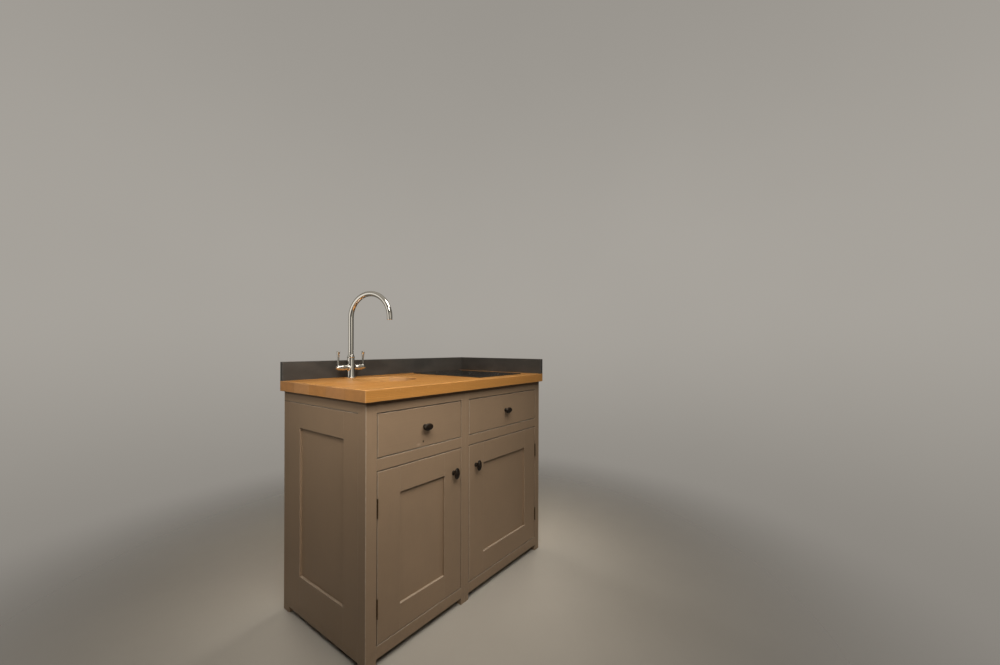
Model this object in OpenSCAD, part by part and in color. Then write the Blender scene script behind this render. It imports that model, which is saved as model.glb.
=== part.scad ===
// Fitted kitchen base unit with an oak worktop, slate upstands, a swan-neck tap,
// a round undermounted bowl and a small glass hob. Millimetres, +Z up, front towards -Y.
// The drawing frame starts at the front left corner of the front frame, on the floor:
// X runs right along the front, Y runs back to the wall. place() then moves it so that
// the origin is on the floor under the middle of the whole unit.

/* [Front] */
// Height of the worktop's top face above the floor
top_h = 910; // [880:5:940]
// Width of the corner post at the front left
post_w = 42; // [40:1:60]
// Depth of the two left posts
post_d = 43; // [30:1:60]
// Clear width of the left opening
left_w = 403; // [380:1:500]
// Width of each of the two centre stiles
centre_w = 22.5; // [20:0.5:30]
// Clear width of the right opening
right_w = 510; // [440:5:600]
// Width of the stile at the right-hand wall
end_w = 37; // [30:1:60]
// Thickness of the front frame, the doors and the drawer fronts
face_t = 22; // [20:1:25]
// Gap between the rails' lower edges and the floor
foot_h = 27; // [15:1:60]
// Height of the bottom rails
bottom_rail_h = 42; // [35:1:60]
// Height of the door openings
door_open_h = 571; // [540:1:600]
// Height of the rails between doors and drawers
mid_rail_h = 40; // [30:1:50]
// Height of the drawer openings
drawer_open_h = 150; // [140:1:160]
// Gap all round the doors and drawer fronts
gap = 3; // [2.5:0.1:4]

/* [Doors] */
// Width of the doors' stiles
door_stile = 92; // [70:1:100]
// Height of the doors' rails
door_rail = 90; // [70:1:100]
// How far the panels lie back from the frame's face
recess = 9; // [5:1:11]
// Thickness of the panels
panel_t = 9; // [6:1:10]
// Length of each butt hinge
hinge_len = 64; // [50:1:80]
// Distance from the door's end to the middle of its hinge
hinge_in = 118.5; // [60:0.5:150]

/* [Left end] */
// Distance from wall to front of the front frame
depth = 548; // [520:1:600]
// Height of the end panel's lower edge above the floor
end_foot = 22; // [10:1:40]
// Width of the end panel's stiles
end_stile = 83; // [60:1:100]
// Height of the end panel's bottom rail
end_bottom = 148; // [90:1:180]
// Height of the end panel's top rail
end_top = 95; // [60:1:110]

/* [Worktop] */
// Thickness of the worktop
wt_t = 40; // [30:1:44]
// How far the worktop stands out over the front
over_front = 22; // [10:1:26]
// How far the worktop stands out over the left end
over_left = 17; // [5:1:40]
// Height of the upstands above the worktop
up_h = 75; // [50:1:120]
// Thickness of the upstands
up_t = 20; // [12:1:25]

/* [Bowl] */
// Centre of the bowl from the frame's left end
bowl_x = 300; // [290:1:300]
// Centre of the bowl from the frame's front face
bowl_y = 305; // [290:1:312]
// Inner radius of the bowl and of its opening
bowl_r = 130; // [110:1:130]
// Depth of the bowl below the worktop
bowl_d = 150; // [120:1:160]

/* [Hob] */
// Left edge of the hob's glass from the frame's left end
hob_x = 606; // [560:1:640]
// Front edge of the hob's glass from the frame's front face
hob_y = 36; // [30:1:45]
// Width of the hob's glass
hob_w = 320; // [288:1:330]
// Depth of the hob's glass
hob_l = 450; // [400:1:455]
// Thickness of the hob's glass
hob_t = 5; // [4:0.5:6]

/* [Tap] */
// Tap's centre from the frame's left end
tap_x = 252; // [240:1:270]
// Tap's centre from the frame's front face
tap_y = 482; // [478:1:484]
// Height of the spout pipe's highest centreline above the worktop
spout_h = 364; // [320:1:400]
// Radius of the swan neck's centreline
neck_r = 102; // [80:1:120]
// Outer radius of the spout pipe
pipe_r = 11; // [10:0.5:13]
// How far the spout is turned from the front towards the right, in degrees
spout_turn = 16; // [0:1:45]
// Height of the lever arms above the worktop
arm_h = 45; // [40:1:52]
// Distance of each lever from the tap's centre
lever_x = 60; // [58:1:70]
// Height of the levers' tops above the worktop
lever_top = 116; // [95:1:125]

/* [Hidden] */
$fn = 64;
e = 0.01;

// levels of the front
z_rail = foot_h;
z_door = z_rail + bottom_rail_h;
z_mid = z_door + door_open_h;
z_drawer = z_mid + mid_rail_h;
z_top_rail = z_drawer + drawer_open_h;
z_wt = top_h - wt_t;

// places along the front
x_l0 = post_w;
x_l1 = x_l0 + left_w;
x_c = x_l1 + centre_w;
x_r0 = x_c + centre_w;
x_r1 = x_r0 + right_w;
x_end = x_r1 + end_w;

// depths
side_t = 18;
back_y = depth - 18;
back_t = 8;
knob_out = 28;

// left end
ye0 = post_d;
ye1 = depth - post_d;

// hinges: knuckle radius, pin radius, how far the axis stands out, leaf thickness
kn_r = 2.3;
hp_r = 1;
ax_out = 2;
leaf_t = 1.2;
leaf_y = 17;

// drawer box
box_gap = 13;
box_t = 12;
box_z0 = z_drawer + 5;
box_z1 = z_drawer + 120;
box_y1 = 470;

// from the drawing frame to the unit's own origin
module place() {
    translate([-(x_end - over_left) / 2, -(depth - knob_out) / 2, 0]) children();
}

// a plain piece between two corners
module bar(a, b) {
    translate(a) cube(b - a);
}

// a flat rectangle with round corners, drawn from its lower corner
module round_rect(w, l, r) {
    translate([r, 0]) square([w - 2 * r, l]);
    translate([0, r]) square([w, l - 2 * r]);
    for (x = [r, w - r], y = [r, l - r]) translate([x, y]) circle(r);
}

paint = [0.47, 0.41, 0.34];
oak = [0.70, 0.47, 0.25];
iron = [0.12, 0.11, 0.11];
steel = [0.72, 0.73, 0.74];
inside = [0.80, 0.74, 0.64];

// ---- worktop and upstands ----

module worktop() {
    color(oak) place() difference() {
        bar([-over_left, -over_front, z_wt], [x_end, depth, top_h]);
        translate([bowl_x, bowl_y, z_wt - 1]) cylinder(r = bowl_r, h = wt_t + 2);
        translate([hob_x + 12, hob_y + 12, z_wt - 1])
            cube([hob_w - 24, hob_l - 24, wt_t + 2]);
        translate([tap_x, tap_y, z_wt - 1]) cylinder(r = 16, h = wt_t + 2);
    }
}

module upstand_back() {
    color([0.20, 0.21, 0.23]) place()
        bar([-over_left, depth - up_t, top_h], [x_end - up_t, depth, top_h + up_h]);
}

module upstand_right() {
    color([0.20, 0.21, 0.23]) place()
        bar([x_end - up_t, -over_front, top_h], [x_end, depth, top_h + up_h]);
}

// ---- front frame ----

module corner_post() {
    color(paint) place() bar([0, 0, 0], [post_w, post_d, z_wt]);
}

module back_post() {
    color(paint) place() bar([0, ye1, 0], [post_w, depth, z_wt]);
}

module centre_stile_left() {
    color(paint) place() bar([x_l1, 0, 0], [x_c, face_t, z_wt]);
}

module centre_stile_right() {
    color(paint) place() bar([x_c, 0, 0], [x_r0, face_t, z_wt]);
}

module right_stile() {
    color(paint) place() bar([x_r1, 0, 0], [x_end, face_t, z_wt]);
}

module rails(x0, x1) {
    bar([x0, 0, z_rail], [x1, face_t, z_door]);
    bar([x0, 0, z_mid], [x1, face_t, z_drawer]);
    bar([x0, 0, z_top_rail], [x1, face_t, z_wt]);
}

module left_rails() {
    color(paint) place() rails(x_l0, x_l1);
}

module right_rails() {
    color(paint) place() rails(x_r0, x_r1);
}

// ---- left end ----

module end_stiles() {
    color(paint) place() {
        bar([0, ye0, end_foot], [face_t, ye0 + end_stile, z_top_rail]);
        bar([0, ye1 - end_stile, end_foot], [face_t, ye1, z_top_rail]);
    }
}

module end_rails() {
    color(paint) place() {
        bar([0, ye0 + end_stile, end_foot], [face_t, ye1 - end_stile, end_foot + end_bottom]);
        bar([0, ye0 + end_stile, z_top_rail - end_top], [face_t, ye1 - end_stile, z_top_rail]);
    }
}

module end_top_rail() {
    color(paint) place() bar([0, ye0, z_top_rail], [face_t, ye1, z_wt]);
}

module end_panel() {
    color(paint) place()
        bar([recess, ye0 + end_stile, end_foot + end_bottom],
            [recess + panel_t, ye1 - end_stile, z_top_rail - end_top]);
}

// ---- carcass ----

module left_cabinet_side() {
    color(inside) place() bar([x_c - side_t, face_t, 0], [x_c, depth, z_wt]);
}

module left_cabinet_base() {
    color(inside) place() difference() {
        bar([face_t, face_t, z_door - side_t], [x_c - side_t, back_y, z_door]);
        bar([face_t - 1, face_t - 1, 0], [post_w, post_d, z_wt]);
        bar([face_t - 1, ye1, 0], [post_w, depth, z_wt]);
    }
}

module left_cabinet_back() {
    color(inside) place()
        bar([post_w, back_y, z_door - side_t], [x_c - side_t, back_y + back_t, z_wt]);
}

module right_cabinet_left_side() {
    color(inside) place() bar([x_c, face_t, 0], [x_c + side_t, depth, z_wt]);
}

module right_cabinet_right_side() {
    color(inside) place() bar([x_end - side_t, face_t, 0], [x_end, depth, z_wt]);
}

module right_cabinet_base() {
    color(inside) place()
        bar([x_c + side_t, face_t, z_door - side_t], [x_end - side_t, back_y, z_door]);
}

module right_cabinet_back() {
    color(inside) place()
        bar([x_c + side_t, back_y, z_door - side_t], [x_end - side_t, back_y + back_t, z_wt]);
}

module shelf() {
    color(inside) place()
        bar([x_c + side_t + 1.5, 60, 350], [x_end - side_t - 1.5, 520, 368]);
}

module shelf_pegs() {
    color(steel) place() for (y = [110, 460]) {
        bar([x_c + side_t, y, 345], [x_c + side_t + 12, y + 10, 350]);
        bar([x_end - side_t - 12, y, 345], [x_end - side_t, y + 10, 350]);
    }
}

module back_stretchers() {
    color(inside) place() {
        bar([post_w, back_y - 18, z_wt - 80], [x_c - side_t, back_y, z_wt]);
        bar([x_c + side_t, back_y - 18, z_wt - 80], [x_end - side_t, back_y, z_wt]);
    }
}

// ---- knobs: a round rose, a stem and an oval head ----

// along = true lays the oval along X, or else it stands along Z
module knob(x, z, along) {
    translate([x, 0, z]) rotate([90, along ? 0 : 90, 0]) {
        cylinder(r = 9, h = 3);
        cylinder(r = 5, h = 17);
        translate([0, 0, 15]) linear_extrude(knob_out - 15) {
            translate([-9, -13.5]) square([18, 27]);
            for (s = [-9, 9]) translate([s, 0]) circle(13.5);
        }
    }
}

// ---- left drawer front: fixed, because the bowl hangs behind it ----

module left_drawer_front() {
    color(paint) place()
        bar([x_l0 + gap, 0, z_drawer + gap], [x_l1 - gap, face_t, z_top_rail - gap]);
}

module left_drawer_knob() {
    color(iron) place() knob(x_l1 - 197, z_drawer + drawer_open_h / 2, true);
}

module left_drawer_battens() {
    color(inside) place() for (x = [x_l0 + 5, x_l1 - 25])
        bar([x, face_t, z_drawer - 25], [x + 20, face_t + 18, z_top_rail + 25]);
}

// ---- right drawer ----

module drawer_front() {
    color(paint) place()
        bar([x_r0 + gap, 0, z_drawer + gap], [x_r1 - gap, face_t, z_top_rail - gap]);
}

module drawer_sides() {
    color(inside) place() {
        bar([x_r0 + box_gap, face_t, box_z0], [x_r0 + box_gap + box_t, box_y1, box_z1]);
        bar([x_r1 - box_gap - box_t, face_t, box_z0], [x_r1 - box_gap, box_y1, box_z1]);
    }
}

module drawer_bottom() {
    color(inside) place()
        bar([x_r0 + box_gap + box_t, face_t, box_z0 + 5], [x_r1 - box_gap - box_t, box_y1, box_z0 + 13]);
}

module drawer_back() {
    color(inside) place()
        bar([x_r0 + box_gap + box_t, box_y1 - box_t, box_z0 + 13], [x_r1 - box_gap - box_t, box_y1, box_z1]);
}

module drawer_knob() {
    color(iron) place() knob((x_r0 + x_r1) / 2, z_drawer + drawer_open_h / 2, true);
}

// hardwood runners: a ledge under each drawer side and a guide beside it
module drawer_runners() {
    color(inside) place() {
        bar([x_c + side_t, face_t, z_drawer], [x_r0 + box_gap + box_t - 2, back_y - 18, box_z0 - 1]);
        bar([x_c + side_t, face_t, box_z0 - 1 - e], [x_r0 + box_gap - 1, back_y - 18, box_z0 + 15]);
        bar([x_r1 - box_gap - box_t + 2, face_t, z_drawer], [x_end - side_t, back_y - 18, box_z0 - 1]);
        bar([x_r1 - box_gap + 1, face_t, box_z0 - 1 - e], [x_end - side_t, back_y - 18, box_z0 + 15]);
    }
}

// ---- bowl and waste ----

module sink_bowl() {
    w = 1.5;
    f = 40;
    zb = z_wt - bowl_d;
    color(steel) place() translate([bowl_x, bowl_y, 0]) rotate_extrude() polygon(concat(
        [[bowl_r, z_wt], [bowl_r + 16, z_wt], [bowl_r + 16, z_wt - w], [bowl_r + w, z_wt - w]],
        [for (i = [0:8]) [bowl_r - f + (f + w) * cos(i * 11.25), zb + f - (f + w) * sin(i * 11.25)]],
        [[46, zb - w], [46, zb]],
        [for (i = [8:-1:0]) [bowl_r - f + f * cos(i * 11.25), zb + f - f * sin(i * 11.25)]]
    ));
}

module sink_waste() {
    zb = z_wt - bowl_d;
    color(steel) place() translate([bowl_x, bowl_y, 0]) rotate_extrude() polygon([
        [44, zb], [56, zb], [54, zb + 1.5], [43, zb + 1.5], [40, zb], [40, zb - 32],
        [20, zb - 34], [20, zb - 75], [24, zb - 75], [24, zb - 36], [44, zb - 34],
        [44, zb - 6], [56, zb - 6], [56, zb - 1.5], [44, zb - 1.5]
    ]);
}

// ---- hob ----

module hob_glass() {
    color([0.03, 0.03, 0.035]) place() translate([hob_x, hob_y, top_h])
        linear_extrude(hob_t) round_rect(hob_w, hob_l, 6);
}

module hob_tray() {
    color([0.30, 0.30, 0.31]) place() difference() {
        bar([hob_x + 16, hob_y + 16, top_h - 52], [hob_x + hob_w - 16, hob_y + hob_l - 16, top_h]);
        bar([hob_x + 18, hob_y + 18, top_h - 50], [hob_x + hob_w - 18, hob_y + hob_l - 18, top_h + 1]);
    }
}

// ---- tap ----

bore_in = 22;
z_base_top = top_h + 94;
lever_in = lever_x - 8;

module tap_body() {
    color(steel) place() translate([tap_x, tap_y, 0]) difference() {
        union() {
            translate([0, 0, top_h - 65]) cylinder(r = 14, h = 66);
            translate([0, 0, z_wt - 8]) cylinder(r = 24, h = 8);
            rotate_extrude() polygon([
                [0, top_h], [20, top_h], [20, top_h + 2], [18.6, top_h + 4], [17.8, top_h + 14],
                [16.8, top_h + 34], [15.8, top_h + 60], [14.8, top_h + 86], [15.3, top_h + 88],
                [15.3, z_base_top - 1], [14.5, z_base_top], [0, z_base_top]
            ]);
            translate([0, 0, top_h + arm_h]) rotate([0, 90, 0]) rotate_extrude() polygon([
                [0, -lever_in], [11.2, -lever_in], [11.9, 7 - lever_in], [12, 15 - lever_in], [11.2, -24],
                [9.5, -13], [9.5, 13], [11.2, 24], [12, lever_in - 15], [11.9, lever_in - 7], [11.2, lever_in],
                [0, lever_in]
            ]);
            translate([-lever_in - 12, 0, top_h + arm_h]) rotate([0, 90, 0]) cylinder(r = 4, h = 2 * lever_in + 24);
        }
        translate([0, 0, z_base_top - bore_in]) cylinder(r = 9.05, h = bore_in + 1);
        for (s = [-6.3, 6.3]) translate([s, 0, top_h - 66]) cylinder(r = 4.5, h = 16);
    }
}

module tap_spout() {
    zc = top_h + spout_h - neck_r;
    color(steel) place() translate([tap_x, tap_y, 0]) rotate([0, 0, spout_turn]) difference() {
        union() {
            translate([0, 0, z_base_top - bore_in + 1.5]) cylinder(r = 9, h = bore_in);
            translate([0, 0, z_base_top + 0.5]) cylinder(r = 13, h = 6);
            translate([0, 0, z_base_top + 0.5]) cylinder(r = pipe_r, h = zc - z_base_top - 0.5);
            translate([0, -neck_r, zc]) rotate([90, 0, 90])
                rotate_extrude(angle = 180) translate([neck_r, 0]) circle(pipe_r);
            translate([0, -2 * neck_r, zc - 12]) cylinder(r = pipe_r, h = 12);
        }
        translate([0, 0, z_base_top + 10]) cylinder(r = pipe_r - 1.5, h = zc - z_base_top - 10);
        translate([0, -neck_r, zc]) rotate([90, 0, 90])
            rotate_extrude(angle = 180) translate([neck_r, 0]) circle(pipe_r - 1.5);
        translate([0, -2 * neck_r, zc - 13]) cylinder(r = pipe_r - 1.5, h = 13);
    }
}

// the lever on the right; the left one is its mirror image
module lever() {
    za = top_h + arm_h;
    difference() {
        union() {
            translate([lever_in + 0.5, 0, za]) rotate([0, 90, 0]) rotate_extrude() polygon([
                [0, 0], [11.1, 0], [10.5, 5], [9, 11], [6.6, 16], [3.6, 18.8], [0, 19.5]
            ]);
            translate([lever_x, 0, 0]) rotate_extrude() polygon([
                [0, za], [3.4, za], [3.4, za + 14], [3.8, za + 30], [4.8, za + 46], [6.2, za + 60],
                [6.9, top_h + lever_top - 2], [6.2, top_h + lever_top], [0, top_h + lever_top]
            ]);
        }
        translate([lever_in - 1, 0, za]) rotate([0, 90, 0]) cylinder(r = 4.05, h = 14);
    }
}

module tap_lever_right() {
    color(steel) place() translate([tap_x, tap_y, 0]) lever();
}

module tap_lever_left() {
    color(steel) place() translate([tap_x, tap_y, 0]) mirror([1, 0, 0]) lever();
}

// ---- doors ----

dz0 = z_door + gap;
dz1 = z_mid - gap;

module door_stiles(x0, x1) {
    bar([x0, 0, dz0], [x0 + door_stile, face_t, dz1]);
    bar([x1 - door_stile, 0, dz0], [x1, face_t, dz1]);
}

module door_rails(x0, x1) {
    bar([x0 + door_stile, 0, dz0], [x1 - door_stile, face_t, dz0 + door_rail]);
    bar([x0 + door_stile, 0, dz1 - door_rail], [x1 - door_stile, face_t, dz1]);
}

module door_panel(x0, x1) {
    bar([x0 + door_stile, recess, dz0 + door_rail], [x1 - door_stile, recess + panel_t, dz1 - door_rail]);
}

module left_door_stiles() {
    color(paint) place() door_stiles(x_l0 + gap, x_l1 - gap);
}

module left_door_rails() {
    color(paint) place() door_rails(x_l0 + gap, x_l1 - gap);
}

module left_door_panel() {
    color(paint) place() door_panel(x_l0 + gap, x_l1 - gap);
}

module left_door_knob() {
    color(iron) place() knob(x_l1 - gap - 42.5, dz1 - 89, false);
}

module right_door_stiles() {
    color(paint) place() door_stiles(x_r0 + gap, x_r1 - gap);
}

module right_door_rails() {
    color(paint) place() door_rails(x_r0 + gap, x_r1 - gap);
}

module right_door_panel() {
    color(paint) place() door_panel(x_r0 + gap, x_r1 - gap);
}

module right_door_knob() {
    color(iron) place() knob(x_r0 + gap + 41.5, dz1 - 88, false);
}

// ---- butt hinges: five knuckles, three on the frame's leaf and two on the door's ----

hinge_z = [dz0 + hinge_in, dz1 - hinge_in];
kn_h = hinge_len / 5;

// knuckle i of a hinge centred at z, with its tab to the leaf
module knuckle(z, i, t0, t1) {
    zk = z - hinge_len / 2 + i * kn_h;
    translate([0, -ax_out, zk + (i > 0 ? 0.15 : 0)])
        cylinder(r = kn_r, h = kn_h - (i > 0 && i < 4 ? 0.3 : 0.15));
    bar([t0, -ax_out, zk + (i > 0 ? 0.15 : 0)], [t1, 0.5, zk + kn_h - (i < 4 ? 0.15 : 0)]);
}

// leaf on the frame, with the pin; the axis is X = 0 and the frame is at -X
module frame_hinge(z) {
    bar([-gap / 2, 0.5 - e, z - hinge_len / 2], [-gap / 2 + leaf_t, leaf_y, z + hinge_len / 2]);
    for (i = [0, 2, 4]) knuckle(z, i, -gap / 2, -gap / 2 + leaf_t);
    translate([0, -ax_out, z - hinge_len / 2]) cylinder(r = hp_r, h = hinge_len);
}

module door_hinge(z) {
    difference() {
        union() {
            bar([gap / 2 - leaf_t, 0.5 - e, z - hinge_len / 2], [gap / 2, leaf_y, z + hinge_len / 2]);
            for (i = [1, 3]) knuckle(z, i, gap / 2 - leaf_t, gap / 2);
        }
        translate([0, -ax_out, z - hinge_len / 2 - 1]) cylinder(r = hp_r + 0.05, h = hinge_len + 2);
    }
}

module left_frame_hinges() {
    color(iron) place() translate([x_l0 + gap / 2, 0, 0]) for (z = hinge_z) frame_hinge(z);
}

module left_door_hinges() {
    color(iron) place() translate([x_l0 + gap / 2, 0, 0]) for (z = hinge_z) door_hinge(z);
}

module right_frame_hinges() {
    color(iron) place() translate([x_r1 - gap / 2, 0, 0]) mirror([1, 0, 0]) for (z = hinge_z) frame_hinge(z);
}

module right_door_hinges() {
    color(iron) place() translate([x_r1 - gap / 2, 0, 0]) mirror([1, 0, 0]) for (z = hinge_z) door_hinge(z);
}

worktop();
upstand_back();
upstand_right();
corner_post();
back_post();
centre_stile_left();
centre_stile_right();
right_stile();
left_rails();
right_rails();
end_stiles();
end_rails();
end_top_rail();
end_panel();
left_cabinet_side();
left_cabinet_base();
left_cabinet_back();
right_cabinet_left_side();
right_cabinet_right_side();
right_cabinet_base();
right_cabinet_back();
shelf();
shelf_pegs();
back_stretchers();
left_drawer_front();
left_drawer_knob();
left_drawer_battens();
drawer_runners();
sink_bowl();
sink_waste();
hob_glass();
hob_tray();
tap_body();
tap_spout();
tap_lever_left();
tap_lever_right();
left_door_stiles();
left_door_rails();
left_door_panel();
left_door_knob();
left_door_hinges();
right_door_stiles();
right_door_rails();
right_door_panel();
right_door_knob();
right_door_hinges();
left_frame_hinges();
right_frame_hinges();
drawer_front();
drawer_sides();
drawer_back();
drawer_bottom();
drawer_knob();
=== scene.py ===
import bpy
import bmesh
import math
import zlib
import numpy as np
from mathutils import Matrix, Vector

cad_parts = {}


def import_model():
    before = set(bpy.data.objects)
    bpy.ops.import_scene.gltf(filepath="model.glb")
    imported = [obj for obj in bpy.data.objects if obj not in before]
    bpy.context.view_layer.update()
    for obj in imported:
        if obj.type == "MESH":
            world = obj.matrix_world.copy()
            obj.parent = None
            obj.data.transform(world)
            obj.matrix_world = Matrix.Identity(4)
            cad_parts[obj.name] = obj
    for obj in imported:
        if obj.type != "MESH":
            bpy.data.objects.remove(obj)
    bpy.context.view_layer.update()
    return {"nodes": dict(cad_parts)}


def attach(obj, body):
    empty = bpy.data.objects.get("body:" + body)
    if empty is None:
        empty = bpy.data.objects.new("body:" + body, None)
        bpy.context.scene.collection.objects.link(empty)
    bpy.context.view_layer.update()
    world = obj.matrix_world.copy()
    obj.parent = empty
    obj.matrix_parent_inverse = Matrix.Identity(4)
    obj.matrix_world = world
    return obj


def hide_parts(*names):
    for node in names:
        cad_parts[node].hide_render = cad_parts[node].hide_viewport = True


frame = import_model()


# ------------------------------------------------------------------ units and camera

def D(x, y, z):
    """A point given in drawing millimetres (front left corner at the floor), in the row frame."""
    return Vector(((x - 510.0) / 1000.0, (y - 260.0) / 1000.0, z / 1000.0))


def make_camera():
    data = bpy.data.cameras.new("photo_camera")
    cam = bpy.data.objects.new("photo_camera", data)
    bpy.context.scene.collection.objects.link(cam)
    yaw, roll = math.radians(52.719), math.radians(0.196)
    forward = Vector((math.sin(yaw), math.cos(yaw), 0.0))
    right = Vector((math.cos(yaw), -math.sin(yaw), 0.0))
    up = Vector((0.0, 0.0, 1.0))
    r2 = right * math.cos(roll) + up * math.sin(roll)
    u2 = -right * math.sin(roll) + up * math.cos(roll)
    m = Matrix((r2, u2, -forward)).transposed().to_4x4()
    m.translation = Vector((-1.2654, -1.3685, 1.0457))
    cam.matrix_world = m
    data.sensor_fit = "HORIZONTAL"
    data.sensor_width = 36.0
    data.lens = 14.452
    data.shift_y = 0.01473
    data.clip_start = 0.02
    data.clip_end = 100.0
    data.dof.use_dof = False
    bpy.context.scene.camera = cam


make_camera()


# ------------------------------------------------------------------ node graphs

class Graph:
    """A material's node tree, written as expressions."""

    def __init__(self, name):
        self.mat = bpy.data.materials.new(name)
        self.mat.use_nodes = True
        self.nt = self.mat.node_tree
        self.nt.nodes.clear()
        self.out = self.nt.nodes.new("ShaderNodeOutputMaterial")
        self.bsdf = self.nt.nodes.new("ShaderNodeBsdfPrincipled")
        self.nt.links.new(self.bsdf.outputs[0], self.out.inputs[0])

    def put(self, socket, v):
        if isinstance(v, bpy.types.NodeSocket):
            self.nt.links.new(v, socket)
        elif v is not None:
            if isinstance(v, (tuple, list)) and len(v) == 3 and len(socket.default_value) == 4:
                v = tuple(v) + (1.0,)
            socket.default_value = v

    def set(self, **values):
        """Sets the shader's own inputs; names have _ for a space."""
        for k, v in values.items():
            self.put(self.bsdf.inputs[k.replace("_", " ")], v)

    def math(self, op, a, b=None, c=None, clamp=False):
        n = self.nt.nodes.new("ShaderNodeMath")
        n.operation = op
        n.use_clamp = clamp
        for i, v in enumerate((a, b, c)):
            if v is not None:
                self.put(n.inputs[i], v)
        return n.outputs[0]

    def add(self, a, b):
        return self.math("ADD", a, b)

    def mul(self, a, b):
        return self.math("MULTIPLY", a, b)

    def sub(self, a, b):
        return self.math("SUBTRACT", a, b)

    def vmul(self, v, by):
        n = self.nt.nodes.new("ShaderNodeVectorMath")
        n.operation = "MULTIPLY"
        self.put(n.inputs[0], v)
        self.put(n.inputs[1], by)
        return n.outputs[0]

    def vadd(self, v, by):
        n = self.nt.nodes.new("ShaderNodeVectorMath")
        n.operation = "ADD"
        self.put(n.inputs[0], v)
        self.put(n.inputs[1], by)
        return n.outputs[0]

    def length(self, v):
        n = self.nt.nodes.new("ShaderNodeVectorMath")
        n.operation = "LENGTH"
        self.put(n.inputs[0], v)
        return n.outputs["Value"]

    def split(self, v):
        n = self.nt.nodes.new("ShaderNodeSeparateXYZ")
        self.put(n.inputs[0], v)
        return n.outputs

    def join(self, x=0.0, y=0.0, z=0.0):
        n = self.nt.nodes.new("ShaderNodeCombineXYZ")
        for i, v in enumerate((x, y, z)):
            self.put(n.inputs[i], v)
        return n.outputs[0]

    def place(self):
        """Where the point is in the object's own coordinates, which are the row frame's at rest."""
        n = self.nt.nodes.new("ShaderNodeTexCoord")
        return n.outputs["Object"]

    def normal(self):
        """The surface's direction in the object's own coordinates."""
        n = self.nt.nodes.new("ShaderNodeTexCoord")
        return n.outputs["Normal"]

    def attr(self, name, output="Fac"):
        n = self.nt.nodes.new("ShaderNodeAttribute")
        n.attribute_type = "GEOMETRY"
        n.attribute_name = name
        return n.outputs[output]

    def noise(self, v, scale=1.0, detail=2.0, rough=0.5, distortion=0.0, lac=2.0):
        n = self.nt.nodes.new("ShaderNodeTexNoise")
        n.noise_dimensions = "3D"
        self.put(n.inputs["Vector"], v)
        n.inputs["Scale"].default_value = scale
        n.inputs["Detail"].default_value = detail
        n.inputs["Roughness"].default_value = rough
        n.inputs["Lacunarity"].default_value = lac
        n.inputs["Distortion"].default_value = distortion
        return n.outputs[0]

    def voronoi(self, v, scale=1.0, feature="F1", rnd=1.0):
        n = self.nt.nodes.new("ShaderNodeTexVoronoi")
        n.feature = feature
        self.put(n.inputs["Vector"], v)
        n.inputs["Scale"].default_value = scale
        n.inputs["Randomness"].default_value = rnd
        return n.outputs["Distance"]

    def fit(self, v, a, b, c=0.0, d=1.0, smooth=False):
        """v from a..b to c..d, clamped."""
        n = self.nt.nodes.new("ShaderNodeMapRange")
        n.interpolation_type = "SMOOTHSTEP" if smooth else "LINEAR"
        n.clamp = True
        self.put(n.inputs["Value"], v)
        for name, x in (("From Min", a), ("From Max", b), ("To Min", c), ("To Max", d)):
            self.put(n.inputs[name], x)
        return n.outputs[0]

    def mix(self, f, a, b, blend="MIX"):
        n = self.nt.nodes.new("ShaderNodeMix")
        n.data_type = "RGBA"
        n.blend_type = blend
        n.clamp_factor = True
        self.put(n.inputs[0], f)
        self.put(n.inputs[6], a)
        self.put(n.inputs[7], b)
        return n.outputs[2]

    def ramp(self, f, stops):
        n = self.nt.nodes.new("ShaderNodeValToRGB")
        e = n.color_ramp.elements
        while len(e) < len(stops):
            e.new(0.5)
        for i, (p, c) in enumerate(stops):
            e[i].position = p
            e[i].color = c if len(c) == 4 else tuple(c) + (1.0,)
        self.put(n.inputs[0], f)
        return n.outputs[0]

    def tone(self, colour, f):
        """colour times f, a number that varies over the surface."""
        n = self.nt.nodes.new("ShaderNodeVectorMath")
        n.operation = "SCALE"
        self.put(n.inputs[0], colour)
        self.put(n.inputs["Scale"], f)
        return n.outputs[0]

    def bump(self, height, distance, strength=1.0, normal=None):
        n = self.nt.nodes.new("ShaderNodeBump")
        n.inputs["Strength"].default_value = strength
        n.inputs["Distance"].default_value = distance
        self.put(n.inputs["Height"], height)
        if normal is not None:
            self.put(n.inputs["Normal"], normal)
        return n.outputs[0]


# ------------------------------------------------------------------ materials

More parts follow.
